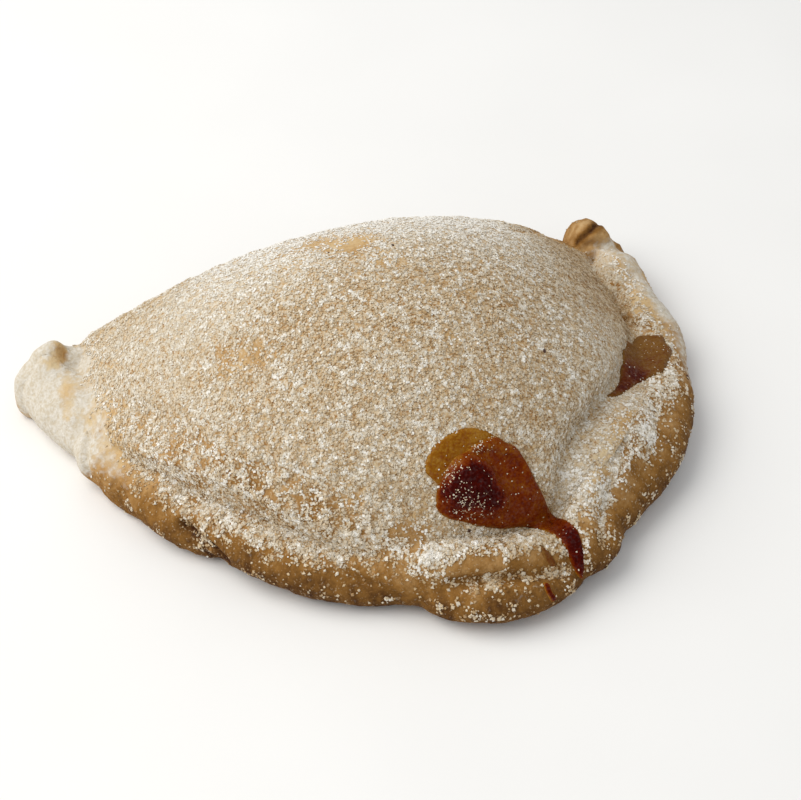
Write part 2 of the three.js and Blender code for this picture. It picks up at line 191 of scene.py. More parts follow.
# ---- Hollows pressed into the crust: centre, radius, depth
HOLLOWS = [
    (-54.4, 0.9, 14.3, 2, 2.2), (-63.6, 0.6, 12.8, 2.2, 1.6), (-57.2, -29, 5, 4, 1.5),
    (-54, -35, 4, 3, 1.5), (67.4, -2.4, 9.8, 2.4, 1), (69.3, 0.9, 8.4, 3, 2), (65.6, 0.6, 10.8, 2, -0.7),
    (-50.5, -38.5, 14, 4, 0.5), (-50.2, 2.4, 13.6, 2.6, -0.7), (-47, 2.5, 17, 4, -0.4),
    (-57.5, 1.4, 15.4, 2.6, -0.7), (-60.5, -9, 11, 2.2, 0.35), (-61.5, -14, 7, 2.4, 0.3),
    (-57, -17, 9.5, 2, 0.4), (-60, -18, 6, 2.2, -0.3), (64.5, -13, 11.5, 2, 0.4), (63, -6, 12, 1.8, -0.3),
    (65, -20, 10.8, 2, -0.3), (54, -20, 16, 3, 0.3),
]

# ---- Dough raised to run smoothly into the end curls: centre, radius, height
FILLED = [
    (-63.5, -0.9, 10, 2.6, 1), (-61, -1, 12.2, 2.8, 1.7), (-58.4, -1.8, 12.8, 2.6, 1.4),
    (60.6, -2.4, 9.2, 2.8, 1.9), (61.8, -1.8, 10.8, 2.2, 0.9),
]

# ---- Baked tone of the rolled edge by place: 0 is pale dough, 1 is dark brown
EDGE_TOAST = [
    (-0.3, 0.5), (-0.12, 0.36), (-0.06, 0.14), (0, 0.1), (0.08, 0.16), (0.12, 0.34), (0.17, 0.42),
    (0.22, 0.5), (0.27, 0.58), (0.36, 0.58), (0.45, 0.52), (0.5, 0.5), (0.55, 0.58), (0.63, 0.62),
    (0.7, 0.64), (0.76, 0.6), (0.84, 0.42), (0.89, 0.3), (0.95, 0.36), (1, 0.44), (1.05, 0.56),
    (1.3, 0.5),
]
# ---- Turn round the rolled edge at which its sugar begins, by place
SUGAR_LINE = [
    (-0.3, 40), (-0.03, 55), (-0.012, 86), (0, 100), (0.03, 92), (0.06, 82), (0.1, 70), (0.13, 66),
    (0.16, 57), (0.195, 51), (0.228, 34), (0.26, 40), (0.3, 39), (0.32, 49), (0.345, 45), (0.366, 48),
    (0.38, 65), (0.404, 67), (0.42, 60), (0.45, 57), (0.475, 70), (0.5, 70), (0.53, 64), (0.55, 46),
    (0.565, 36), (0.59, 46), (0.606, 46), (0.63, 66), (0.668, 72), (0.69, 74), (0.734, 74), (0.76, 60),
    (0.78, 48), (0.85, 56), (0.9, 66), (0.95, 62), (1, 104), (1.04, 112), (1.09, 70), (1.3, 40),
]
SUGAR_LINE_SOFTNESS = 10.0
# ---- Grains per place on the bare outer faces
FACE_SUGAR = [
    (-0.3, 0.8), (-0.08, 0.3), (0, 0), (0.07, 0.5), (0.12, 1.3), (0.3, 1.3), (0.5, 0.9), (0.6, 1.1),
    (0.7, 1), (0.77, 0.9), (0.83, 1.4), (0.9, 1.1), (1, 0.2), (1.3, 0.8),
]
# ---- Bare patches: centre, radius, how much sugar is gone
BARE = [
    (-4.4, -12.3, 38.7, 4, 0.6), (2.5, -16.5, 41.3, 3.5, 0.6), (-0.3, -18.6, 41.1, 3.2, 0.55),
    (5.1, -26.3, 41.8, 3, 0.3), (-28.7, -32.6, 32.1, 4, 0.5), (-23.6, -35.6, 34.3, 3.2, 0.4),
    (10.4, -45.5, 37.7, 1.6, 0.6), (23, -47, 33.7, 2.4, 0.35), (-6.6, -70.3, 13.8, 3.2, 0.4),
    (-10.1, -69.3, 13.8, 3, 0.3), (-23.7, -59.4, 19.4, 4, 0.25), (-15.6, -63.4, 20.6, 4, 0.25),
    (63.5, -24, 11.2, 5, 0.45), (-53.4, -21.7, 11.5, 1.6, 0.4), (26, -76.3, 10.5, 2, 0.5),
    (38, -63, 14, 1.6, 0.5), (40.8, -58.5, 15.5, 2, 0.6), (33, -65, 14.5, 1.8, 0.5),
    (39.5, -66.5, 11, 2.5, 0.6), (37.4, -61.6, 16.9, 2, 0.75), (35, -64.3, 16.3, 1.6, 0.65),
    (40.5, -59.5, 16.3, 1.4, 0.5), (62.4, -12, 11.8, 5, 0.12), (58.4, -23.5, 10.3, 1.3, 0.6),
    (59.2, -27, 10.4, 1.1, 0.4), (4.5, -78.4, 11.9, 3.5, 0.6), (0.4, -77.9, 11.6, 2.2, 0.45),
    (43, -56, 15.5, 1.6, 0.4), (33.5, -68.5, 13, 2.2, 0.4), (30.5, -74, 11, 2.2, 0.4),
    (-56.4, -0.4, 15, 3, 1.2), (61.5, 0.5, 13, 4, 1.2), (61, -3, 11.2, 2.4, 0.6),
]
# ---- Heaped sugar: centre, radius, how much is added
HEAPED = [
    (46.3, -60.6, 12.2, 2.4, 0.7), (44.5, -61.8, 12.4, 2.6, 0.4), (-40.8, -52.5, 5.3, 1.8, 0.8),
    (-20, -64.5, 10.8, 2.5, 0.4), (5, -73.5, 12.8, 4, 0.4), (12, -75, 12, 4, 0.4),
    (5.3, -81.4, 9, 2.2, 0.9), (1, -81.5, 7.6, 1.8, 0.6), (-47.6, -34, 11.4, 3, 0.3),
    (27.5, -70.5, 13.5, 4, 0.1), (-52.5, -9, 14, 3, 0.4), (-52, -16, 12.5, 2.6, 0.35),
    (4.8, -62.2, 27.8, 1.5, 0.5), (11.4, -62.7, 26.9, 1.5, 0.4), (29.5, -77.5, 8.6, 1.6, 0.5),
]
# ---- Floury dough: centre, radius, how much flour
FLOURY = [
    (-64, -3, 9, 8, 1.1), (-61.5, -12, 7.5, 7, 1.1), (-59, -20, 6, 5.5, 1), (-60.5, -0.5, 13.5, 4.5, 0.6),
    (-57.5, 3, 14.5, 4, 0.8), (-57, -5.5, 13.5, 3, 0.4), (-58.5, -25, 6.5, 2.5, 0.5),
    (-55.5, -22, 10.5, 4, 0.5), (-53, -28, 9.5, 3.5, 0.35), (62.5, -5, 11.5, 5.5, 0.5),
    (65.5, -11, 10.5, 5, 0.5), (67.5, -18, 8.5, 5, 0.7), (68, -26, 8, 5, 0.7), (66.8, -22, 10, 2.4, 0.3),
    (66.5, -27, 10, 2.4, 0.3), (64, -1, 11.5, 2.6, 0.35), (67, -3, 8, 4, 0.6), (50, -38, 17, 14, 0.25),
    (68.5, -36, 8, 5, 0.7), (68, -45, 7, 5, 0.5), (-54, -13.5, 12, 3, 0.4), (-52.8, -3, 14.4, 2.8, 0.7),
    (-53.2, 0.8, 14.2, 1.8, 0.6), (-52, -12, 16, 9, 0.3), (-51, -33, 9, 4, 0.3),
]
# ---- Flour rubbed off down to golden dough: centre, radius, how much is gone
GOLDEN_FLOUR = [
    (-57, -6, 13.2, 1.8, 0.6), (-57.2, -8.8, 13.1, 1.8, 0.65), (-58.2, -11.8, 12, 2.2, 0.65),
    (-58.8, -14.5, 10.4, 1.8, 0.6), (-59.6, -2.2, 14, 2.2, 0.75), (-57.4, -2.2, 14, 1.8, 0.7),
    (-54.8, -17.8, 11.4, 1.6, 0.4), (-55.4, -20.4, 10, 1.8, 0.4), (-56.2, 0.4, 15.2, 1.8, 1.1),
    (59.3, 0.6, 12.2, 1.7, 0.8), (60.4, -1, 12, 1.2, 0.5), (62.3, -21.4, 11, 2.8, 0.75),
    (61.2, -24.5, 11.2, 2, 0.5), (62.4, -13, 11.8, 2.6, 0.35), (62.4, -8.8, 12.1, 1.8, 0.35),
    (63.4, 1.2, 13.2, 2.2, 0.4), (64, -0.4, 12.2, 1.6, 0.3),
]
# ---- Browner patches: centre, radius, change of toast
TOASTED = [
    (-56.2, 0.7, 15.3, 1.4, 0.12), (-55, -1.2, 14.8, 1.2, 0.1), (60.7, -27.1, 11.5, 2, 0.08),
    (62.5, -21.5, 11, 4, -0.14), (-4, -14, 39.5, 7, -0.06), (-53.5, -27, 10, 4, -0.1),
    (59.5, 5, 13, 3, -0.1), (-53.6, -21.5, 11.4, 1.4, 0.3), (62.6, -9.5, 12.3, 1.5, 0.12),
    (59.3, 0.6, 12.2, 1.6, -0.1), (33, -64, 15, 6, -0.3), (62.5, -10, 12, 4.5, -0.2),
    (-52.5, -22, 11, 5, -0.06), (46, -55, 15, 5, -0.08), (-51, -10, 14, 8, -0.08),
    (27.5, -70.5, 13.5, 5, -0.3), (5, -78.5, 11.5, 7, 0.07),
]
# ---- Palest sugar: centre, radius, how much paler
PALE = [
    (62, -5, 11, 5, 0.3), (63.5, -12, 11, 5, 0.3), (-52, -24, 12, 4, -0.15), (-50, -33, 11, 5, -0.15),
    (46.3, -60.6, 12.2, 2.6, 0.5), (29, -68, 14, 4, 0.3), (35.5, -61.5, 17, 4.5, 0.1),
    (44, -54, 16.5, 4.5, 0.15), (5, -73.5, 12.8, 5, 0.15), (27.5, -70.5, 13.5, 5, 0.05),
    (4.8, -62.2, 27.8, 2, 0.3), (-5, -73, 12.4, 4, 0.25),
]


# ---- Small mathematics
def smoothstep(a, b, x):
    t = np.clip((np.asarray(x, float) - a) / (b - a), 0, 1)
    return t * t * (3 - 2 * t)


def bell(x, centre, width):
    return np.exp(-(((x - centre) / width) ** 2))


def mix(a, b, t):
    return a + (b - a) * t


def unit(v):
    return v / np.maximum(np.linalg.norm(v, axis=-1, keepdims=True), 1e-12)


def keyed(table, x, column=1):
    """A table's column, drawn between its rows."""
    table = np.array(table, float)
    return np.interp(x, table[:, 0], table[:, column])


def spline(points, closed, per_span):
    """A Catmull-Rom curve through the points, as many short pieces."""
    p = np.array(points, float)
    if closed:
        p = np.r_[p[-1:], p, p[:2]]
    else:
        p = np.r_[[2 * p[0] - p[1]], p, [2 * p[-1] - p[-2]]]
    t = np.linspace(0, 1, per_span, endpoint=False)[:, None]
    pieces = []
    for a, b, c, d in zip(p, p[1:], p[2:], p[3:]):
        bend = 2 * b + (c - a) * t + (2 * a - 5 * b + 4 * c - d) * t**2 + (3 * b - 3 * c + d - a) * t**3
        pieces.append(bend / 2)
    return np.concatenate(pieces if closed else [*pieces, p[-2:-1]])


class Field:
    """A smooth random field of values between 0 and 1, from a wrapped lattice."""

    SIDE = 32

    def __init__(self, seed):
        self.lattice = np.random.default_rng(seed).random((self.SIDE,) * 3)

    def __call__(self, points, size, octaves=1):
        total = 0
        weight = 0
        for octave in range(octaves):
            share = 0.5**octave
            total = total + share * self.single(points * (2.0**octave / size) + 7.3 * octave)
            weight += share
        return total / weight

    def single(self, p):
        cell = np.floor(p).astype(int)
        t = p - cell
        t = t * t * (3 - 2 * t)
        value = 0
        for corner in itertools.product((0, 1), repeat=3):
            share = np.prod(np.where(corner, t, 1 - t), axis=1)
            i, j, k = ((cell + corner) % self.SIDE).T
            value = value + share * self.lattice[i, j, k]
        return value


# ---- The crust's outline and sections
def outline_point(t):
    """0 to pi runs round the front from the left tip, pi to 2 pi back along the fold."""
    c, s = np.cos(t), np.sin(t)
    front = t <= np.pi
    full = np.where(front, mix(LEFT_FULLNESS, RIGHT_FULLNESS, (1 - c) / 2), BACK_FULLNESS)
    across = np.sign(c) * np.abs(c) ** (2 / full)
    out = np.abs(s) ** (2 / full)
    x = FOLD_LINE[0] - HALF_SPAN * across + np.where(front, LEAN * out * out, 0)
    y = FOLD_LINE[1] + np.where(front, -DEPTH, BACK_BULGE) * out
    return np.stack([x, y], -1)


class Rim:
    """The outline measured by its length."""

    SAMPLES = 8000

    def __init__(self):
        self.points = outline_point(np.linspace(0, 2 * np.pi, self.SAMPLES + 1))
        steps = np.linalg.norm(np.diff(self.points, axis=0), axis=1)
        self.lengths = np.r_[0, np.cumsum(steps)]
        self.total = self.lengths[-1]
        self.front = self.lengths[self.SAMPLES // 2]
        spoke = self.points - HUB
        self.turn = np.unwrap(np.arctan2(spoke[:, 1], spoke[:, 0]))
        self.reach = np.linalg.norm(spoke, axis=1)
        self.slant = self.slant_at(self.lengths)

    def at(self, distance):
        wrapped = np.mod(distance, self.total)
        return np.stack([np.interp(wrapped, self.lengths, self.points[:, k]) for k in (0, 1)], -1)

    def outward(self, distance):
        step = unit(self.at(distance + OUTWARD_REACH) - self.at(distance - OUTWARD_REACH))
        return np.stack([step[:, 1], -step[:, 0]], -1)

    def slant_at(self, distance):
        inward = unit(HUB - self.at(distance))
        return np.clip(-(inward * self.outward(distance)).sum(1), LEAST_SLANT, 1)

    def place_of(self, distance):
        past_middle = distance > (self.front + self.total) / 2
        return np.where(past_middle, distance - self.total, distance) / self.front

    def coordinates(self, points):
        """Place along the rim and distance in from it, for points in space."""
        spoke = points[:, :2] - HUB
        turn = np.arctan2(spoke[:, 1], spoke[:, 0])
        start = self.turn[0]
        turn = start + np.mod(turn - start, 2 * np.pi)
        distance = np.interp(turn, self.turn, self.lengths)
        reach = np.interp(turn, self.turn, self.reach)
        slant = np.interp(turn, self.turn, self.slant)
        inset = (reach - np.linalg.norm(spoke, axis=1)) * slant
        return self.place_of(distance), inset


def round_edge(points, inset):
    """Turn round the rolled edge in degrees: 0 faces out, 90 up, more faces the dome."""
    return np.degrees(np.arctan2(points[:, 2] - POLE_HEIGHT, EDGE_MIDDLE - inset))


def dome_height(x, y):
    """Height of the filled crust over plan points, never below its waist."""
    forward = np.clip((FOLD_LINE[1] - y) / DEPTH, 0, 1.2)
    across = np.clip((x - LEAN * forward**2 - DOME_MIDDLE) / DOME_HALF_SPAN, -1, 1)
    full = mix(*DOME_FULLNESS, (across + 1) / 2)
    width = np.abs(across)
    front = FOLD_LINE[1] - DOME_DEPTH * np.maximum(1 - width**full, 0) ** (1 / full)
    back = FOLD_LINE[1] + 1 + BACK_BULGE * np.sqrt(np.maximum(1 - width**DOME_BACK_FLATNESS, 0))
    crest = mix(back, front, DOME_CREST)
    ahead = y < crest
    span = np.maximum(np.where(ahead, crest - front, back - crest), 0.5)
    off = np.abs(crest - y) / span
    fall = np.maximum(0, 1 - off * off) ** np.where(ahead, DOME_FRONT_FALL, DOME_BACK_FALL)
    top = HEIGHT * np.maximum(1 - across**2, 0) ** DOME_TAPER
    return DOME_WAIST + np.maximum(0, top - DOME_WAIST) * fall


def dome_profiles(foot_points, inward, reach, slant, back):
    """For each station, insets and heights from the hub down to the tucked-in foot."""
    foot = DOME_INSET * (1 - back)
    share = np.sin(np.pi / 2 * np.linspace(0, 1, DOME_SAMPLES))
    inset = reach[:, None] - (reach - foot)[:, None] * share
    x = foot_points[:, :1] + inward[:, :1] * inset
    y = foot_points[:, 1:] + inward[:, 1:] * inset
    height = dome_height(x, y)
    turn = np.pi / 2 * np.linspace(0, 1, FOOT_SAMPLES)[1:]
    tucked = foot[:, None] + UNDERCUT * (1 - np.cos(turn))
    falling = height[:, -1:] * (1 - np.sin(turn))
    return np.c_[inset, tucked] * slant[:, None], np.c_[height, falling]


def ellipse_hit(dx, dz, mx, mz):
    """Distance along rays from the pole to the far side of an ellipse, or 0 where they miss."""
    a = dx * dx + dz * dz
    b = mx * dx + mz * dz
    c = mx * mx + mz * mz - 1
    inside = b * b - a * c
    return np.where(inside > 0, (-b + np.sqrt(np.maximum(inside, 0))) / a, 0)


def roll_hits(place, pole, c, s):
    """Distances at which the rays of each station leave each roll."""
    hits = []

    def roll(rows, inset, height, wide, tall):
        hit = np.zeros_like(c)
        wide, tall = wide[:, None], tall[:, None]
        mx = (pole[rows] - inset)[:, None] / wide
        mz = (POLE_HEIGHT - height)[:, None] / tall
        hit[rows] = ellipse_hit(c[rows] / wide, s[rows] / tall, mx, mz)
        hits.append(hit)

    inset, height, wide, tall = EDGE_CORE
    core = 1 - smoothstep(*CORE_FADE, np.maximum(-place, place - 1))
    rows = core > CORE_END
    size = core[rows]
    roll(rows, inset, height * np.ones_like(size), wide * size, tall * size)
    least, more = FOLD_LIFT
    for _, start, end, inset, height, wide, tall in FOLDS:
        rows = (place > start) & (place < end)
        t = (place[rows] - start) / (end - start)
        swell = (4 * t * (1 - t)) ** FOLD_TAPER
        lifted = mix(*height, t) * (least + more * swell)
        roll(rows, mix(*inset, t), lifted, wide * swell, tall * swell)
    return hits


def outermost(distances):
    """Soft maximum of several distances: the outermost surface, with rounded creases."""
    stack = np.array(distances)
    most = stack.max(0)
    return most + BLEND * np.log(np.exp((stack - most) / BLEND).sum(0))


def section_grid(rim):
    """Points of every section, from the hub over the dome and the rolled edge to the tray."""
    distance = np.r_[
        np.linspace(0, rim.front, EDGE_STATIONS, endpoint=False),
        np.linspace(rim.front, rim.total, BACK_STATIONS, endpoint=False),
    ]
    foot_points = rim.at(distance)
    reach = np.linalg.norm(HUB - foot_points, axis=1)
    inward = (HUB - foot_points) / reach[:, None]
    slant = rim.slant_at(distance)
    past = distance - rim.front
    behind = np.where(past > 0, np.sin(np.pi * past / (rim.total - rim.front)), 0)
    back = smoothstep(0, BACK_FADE, behind)
    place = rim.place_of(distance)
    *where, further = RIGHT_WIDENING
    pole = mix(EDGE_MIDDLE + further * bell(place, *where), BACK_MIDDLE * slant, back)
    inset, height = dome_profiles(foot_points, inward, reach, slant, back)
    angle = np.arctan2(height - POLE_HEIGHT, inset - pole[:, None])
    angle = np.maximum.accumulate(np.where(angle < -np.pi / 2, angle + 2 * np.pi, angle), axis=1)
    radius = np.hypot(height - POLE_HEIGHT, inset - pole[:, None])
    rays = np.linspace(angle[:, 0], LAST_RAY, SECTION_SAMPLES, axis=1)
    dome = np.array([np.interp(r, a, d) for r, a, d in zip(rays, angle, radius)])
    c, s = np.cos(rays), np.sin(rays)
    distance_out = outermost([dome, *roll_hits(place, pole, c, s)])
    floor = np.where(s < 0, POLE_HEIGHT / np.maximum(-s, 1e-6), np.inf)
    distance_out = np.minimum(distance_out, floor)
    inset = pole[:, None] + distance_out * c
    height = np.maximum(POLE_HEIGHT + distance_out * s, 0)
    inset, height = even_rows(inset, height)
    along = inset / slant[:, None]
    x = foot_points[:, :1] + inward[:, :1] * along
    y = foot_points[:, 1:] + inward[:, 1:] * along
    return np.stack([x, y, height], -1)


def even_rows(inset, height):
    """Cuts each section into rows, finer over the rolled edge."""
    middle = (inset[:, 1:] + inset[:, :-1]) / 2
    fineness = 1 + EDGE_FINENESS * (1 - smoothstep(*EDGE_ZONE, middle))
    steps = np.hypot(np.diff(inset), np.diff(height)) * fineness
    length = np.c_[np.zeros(len(steps)), np.cumsum(steps, axis=1)]
    rows = np.linspace(0, 1, SECTION_ROWS + 1)
    new_inset = np.array([np.interp(rows * a[-1], a, b) for a, b in zip(length, inset)])
    new_height = np.array([np.interp(rows * a[-1], a, b) for a, b in zip(length, height)])
    return new_inset, new_height


# ---- Meshes
def mesh_of(name, points, faces):
    mesh = bpy.data.meshes.new(name)
    mesh.from_pydata(np.asarray(points).tolist(), [], [list(map(int, f)) for f in faces])
    mesh.validate()
    mesh.update()
    return mesh


def object_of(name, data):
    made = bpy.data.objects.new(name, data)
    bpy.context.scene.collection.objects.link(made)
    return made


def vectors_of(mesh, name):
    flat = np.empty(len(mesh.vertices) * 3)
    mesh.vertices.foreach_get(name, flat)
    return flat.reshape(-1, 3)


def points_of(mesh):
    return vectors_of(mesh, "co")


def normals_of(mesh):
    return vectors_of(mesh, "normal")


def triangles_of(mesh):
    mesh.calc_loop_triangles()
    corners = np.empty(len(mesh.loop_triangles) * 3, int)
    mesh.loop_triangles.foreach_get("vertices", corners)
    return corners.reshape(-1, 3)


def set_points(mesh, points):
    mesh.vertices.foreach_set("co", np.asarray(points, float).ravel())
    mesh.update()


def set_value(mesh, name, values):
    layer = mesh.attributes.new(name, "FLOAT", "POINT")
    layer.data.foreach_set("value", np.clip(values, 0, 1).astype(np.float32))


def body_mesh(rim):
    """Closed body of the crust from its sections."""
    grid = section_grid(rim)
    stations, rows = grid.shape[0], grid.shape[1] - 1
    points = np.r_[grid[:1, 0], [[HUB[0], HUB[1], 0]], grid[:, 1:].reshape(-1, 3)]
    here = np.arange(stations)
    after = (here + 1) % stations
    first = 2 + here * rows
    second = 2 + after * rows
    faces = [(0, a, b) for a, b in zip(first, second)]
    row = np.arange(rows - 1)
    a = first[:, None] + row
    b = second[:, None] + row
    faces += np.stack([a, a + 1, b + 1, b], -1).reshape(-1, 4).tolist()
    faces += [(1, b + rows - 1, a + rows - 1) for a, b in zip(first, second)]
    mesh = mesh_of("crust", points, faces)
    reworked(mesh, thin_hub)
    return mesh


def reworked(mesh, change):
    work = bmesh.new()
    work.from_mesh(mesh)
    change(work)
    work.to_mesh(mesh)
    work.free()


def thin_hub(work):
    """Merges the crowded points where the sections meet on top of the dome."""
    top = [v for v in work.verts if v.co.z > HEIGHT / 2]
    near = [v for v in top if math.hypot(v.co.x - HUB[0], v.co.y - HUB[1]) < HUB_CLEAR]
    bmesh.ops.remove_doubles(work, verts=near, dist=HUB_MERGE)


def turn_outward(work):
    bmesh.ops.recalc_face_normals(work, faces=work.faces)


def curl_mesh(centre, radii, field):
    """An uneven ball of dough."""
    around, down = CURL_FINENESS
    turn = np.linspace(0, 2 * np.pi, around, endpoint=False)
    fall = np.linspace(0, np.pi, down + 1)[1:-1]
    ring = np.stack([
        np.outer(np.sin(fall), np.cos(turn)),
        np.outer(np.sin(fall), np.sin(turn)),
        np.outer(np.cos(fall), np.ones(around)),
    ], -1).reshape(-1, 3)
    points = np.r_[[[0, 0, 1]], ring, [[0, 0, -1]]] * radii
    points = points * (1 + CURL_UNEVENNESS * (field(points + 50, 4.0, 2)[:, None] - 0.5)) + centre
    points[:, 2] = np.maximum(points[:, 2], TRAY_CLEARANCE)
    faces = []
    last = len(points) - 1
    for i in range(around):
        j = (i + 1) % around
        faces.append((0, 1 + i, 1 + j))
        for row in range(down - 2):
            a, b = 1 + row * around, 1 + (row + 1) * around
            faces.append((a + i, b + i, b + j, a + j))
        a = 1 + (down - 2) * around
        faces.append((last, a + j, a + i))
    return mesh_of("curl", points, faces)


def joined(body, others):
    """Body with the other closed meshes joined on as one skin."""
    made = object_of("joined", body)
    helpers = []
    for other in others:
        helper = object_of("helper", other)
        helpers.append(helper)
        join = made.modifiers.new("join", "BOOLEAN")
        join.operation = "UNION"
        join.solver = "EXACT"
        join.object = helper
    graph = bpy.context.evaluated_depsgraph_get()
    mesh = bpy.data.meshes.new_from_object(made.evaluated_get(graph))
    for extra in [made, *helpers]:
        bpy.data.objects.remove(extra)
    return mesh


# ---- Relief
def nearest_on_line(points, line):
    """Distance to a line of short pieces, place along it (0 to 1), and the side vector."""
    starts, ends = line[:-1], line[1:]
    span = ends - starts
    along = ((points[:, None] - starts) * span).sum(2) / (span * span).sum(1)
    along = np.clip(along, 0, 1)
    foot = starts + along[..., None] * span
    gap = points[:, None] - foot
    distance = np.linalg.norm(gap, axis=2)
    best = distance.argmin(1)
    rows = np.arange(len(points))
    place = (best + along[rows, best]) / len(span)
    return distance[rows, best], place, gap[rows, best], unit(span)[best]


def near_line(points, route, reach):
    """Rows of the points near a line, and what nearest_on_line gives for them."""
    line = spline(route, False, 8)
    low, high = line.min(0) - reach, line.max(0) + reach
    near = np.flatnonzero(((points > low) & (points < high)).all(1))
    return near, nearest_on_line(points[near], line)


def carve(points, normals, crease):
    """How far a crease moves each point along its normal."""
    near, (distance, place, gap, along) = near_line(points, crease["route"], CREASE_REACH)
    left = (np.cross(along, gap) * normals[near]).sum(1) > 0
    ends = smoothstep(0, 0.18, place) * (1 - smoothstep(0.85, 1, place))
    groove = np.exp(-((distance / crease["width"]) ** 2))
    raised = np.where(left, np.exp(-distance / CREASE_LIP_WIDTH) - groove, 0)
    move = np.zeros(len(points))
    move[near] = ends * (crease["lip"] * raised - crease["depth"] * groove)
    return move


def crease_shade(points, kind):
    """Sum of soft lines along the creases: sugar caught in them, or brown painted shade along them."""
    total = np.zeros(len(points))
    for crease in CREASES:
        if crease.get(kind):
            near, (distance, place, _, _) = near_line(points, crease["route"], CREASE_SHADE_REACH)
            ends = smoothstep(0, 0.1, place) * (1 - smoothstep(0.9, 1, place))
            total[near] += crease[kind] * ends * np.exp(-((distance / CREASE_SHADE_WIDTH) ** 2))
    return total


def spots(points, listed):
    """Sum of soft round patches."""
    total = np.zeros(len(points))
    for *centre, radius, amount in listed:
        total += amount * np.exp(-((np.linalg.norm(points - centre, axis=1) / radius) ** 2))
    return total


STREAK_LENGTH = 230  # about the front rim's length in millimetres
STREAK_TURN = 9  # degrees round the edge that count as a millimetre
STREAK_SLANT = 0.35
STREAK_STRETCH = 0.16
STREAK_WIDTH = 1.1


def streaks(points, place, inset, field):
    """Fine lines of stretched dough that run over the rolled edge."""
    along = place * STREAK_LENGTH
    over = round_edge(points, inset) / STREAK_TURN
    slanted = np.stack([along + STREAK_SLANT * over, over * STREAK_STRETCH, 0 * along], -1)
    return field(slanted, STREAK_WIDTH, 2) - 0.5


def ribbon(table, place, inset, width):
    """A long swelling that follows the rim."""
    return keyed(table, place, 2) * bell(inset, keyed(table, place, 1), width)


def relief(points, normals, place, inset, sugar, fields):
    """Everything that moves the crust's skin along its normal."""
    move = np.zeros(len(points))
    for crease in CREASES:
        move += carve(points, normals, crease)
    move -= ribbon(VALLEY, place, inset, VALLEY_WIDTH)
    move += ribbon(RIDGE, place, inset, RIDGE_WIDTH)
    on_edge = 1 - smoothstep(*EDGE_INSETS, inset)
    size, swell = DOME_SWELL
    swell = swell * (fields[0](points, size, 2) - 0.5)
    size, everywhere, on_fold = PUCKER
    pucker = fields[1](points, size, 2) - 0.5
    move -= spots(points, HOLLOWS) + DOME_ALLOWANCE * (1 - on_edge)
    move += swell * (1 - on_edge) + on_fold * pucker * on_edge + everywhere * pucker
    move += STRETCH_MARKS * on_edge * streaks(points, place, inset, fields[0])
    thick, uneven, more_uneven = CAKED
    caked = fields[2](points, CAKED_SIZE, 2) - 0.5
    move += np.clip(sugar, 0, 1) * (thick + (uneven + more_uneven * on_edge) * caked)
    return move * smoothstep(*STILL_FOOT, points[:, 2])


def build_crust(rim, fields):
    """The crust's mesh with its relief, and the state of its skin."""
    body = body_mesh(rim)
    points = points_of(body)
    points[:, 2] += spots(points, FILLED)
    set_points(body, points)
    mesh = joined(body, [curl_mesh(*curl, fields[2]) for curl in END_CURLS])
    points, normals = points_of(mesh), normals_of(mesh)
    place, inset = rim.coordinates(points)
    state = crust_state(points, place, inset, fields)
    points += normals * relief(points, normals, place, inset, state["sugar"], fields)[:, None]
    points[:, 2] = np.maximum(points[:, 2], 0)
    set_points(mesh, points)
    state["sugar"] *= 1 - smoothstep(0.05, -0.3, normals[:, 2])
    return mesh, state


# ---- Where the crust is toasted, floury and sugared
class Zones:
    """How far each point belongs to each zone of the crust, from 0 to 1.

    Zones of the rolled edge fade over the turn round it in degrees, the others over
    millimetres of the plan.
    """

    def __init__(self, points, turn):
        x, y, z = points.T
        self.edge = 1 - smoothstep(82, 104, turn)
        self.face = smoothstep(60, 5, turn)
        self.left = smoothstep(-10, -50, x)
        self.right = smoothstep(32, 52, x)
        self.low_right = smoothstep(20, 40, x) * smoothstep(-25, -42, y)
        self.low_middle = bell(y, -58, 14) * bell(x, -12, 26) * smoothstep(12, 16, z)
        self.high = smoothstep(-38, 2, y) * smoothstep(20, 34, z)
        self.right_edge = self.edge * smoothstep(15, 35, x)


class Waves:
    """Unevenness of the crust from broad to fine, between -0.5 and 0.5."""

    def __init__(self, points, fields):
        self.broad = fields[0](points, 18.0, 2) - 0.5
        self.mottle = fields[1](points, 4.0, 3) - 0.5
        self.patch = fields[0](points, 2.4, 2) - 0.5
        self.speckle = fields[2](points, 1.6, 2) - 0.5


def toast_at(points, place, inset, zone, wave, field):
    """How brown the dough is baked, with painted shade along the creases."""
    dome = 0.36 + 0.14 * wave.broad - 0.38 * zone.low_middle
    edge = keyed(EDGE_TOAST, place) + 0.02 + 0.28 * zone.face
    toast = mix(dome, edge, zone.edge) + 0.24 * wave.mottle
    toast += 0.16 * zone.edge * streaks(points, place, inset, field)
    # Painted shade: the creases' brown darkens the dough along them.
    toast += spots(points, TOASTED) + crease_shade(points, "brown")
    return toast


def flour_at(points, wave):
    """How thick the flour lies on the dough."""
    flour = spots(points, FLOURY) - spots(points, GOLDEN_FLOUR)
    flour = np.clip(flour + 0.5 * wave.mottle + 0.35 * wave.speckle, 0, 1)
    return flour * smoothstep(0.05, 0.4, flour)


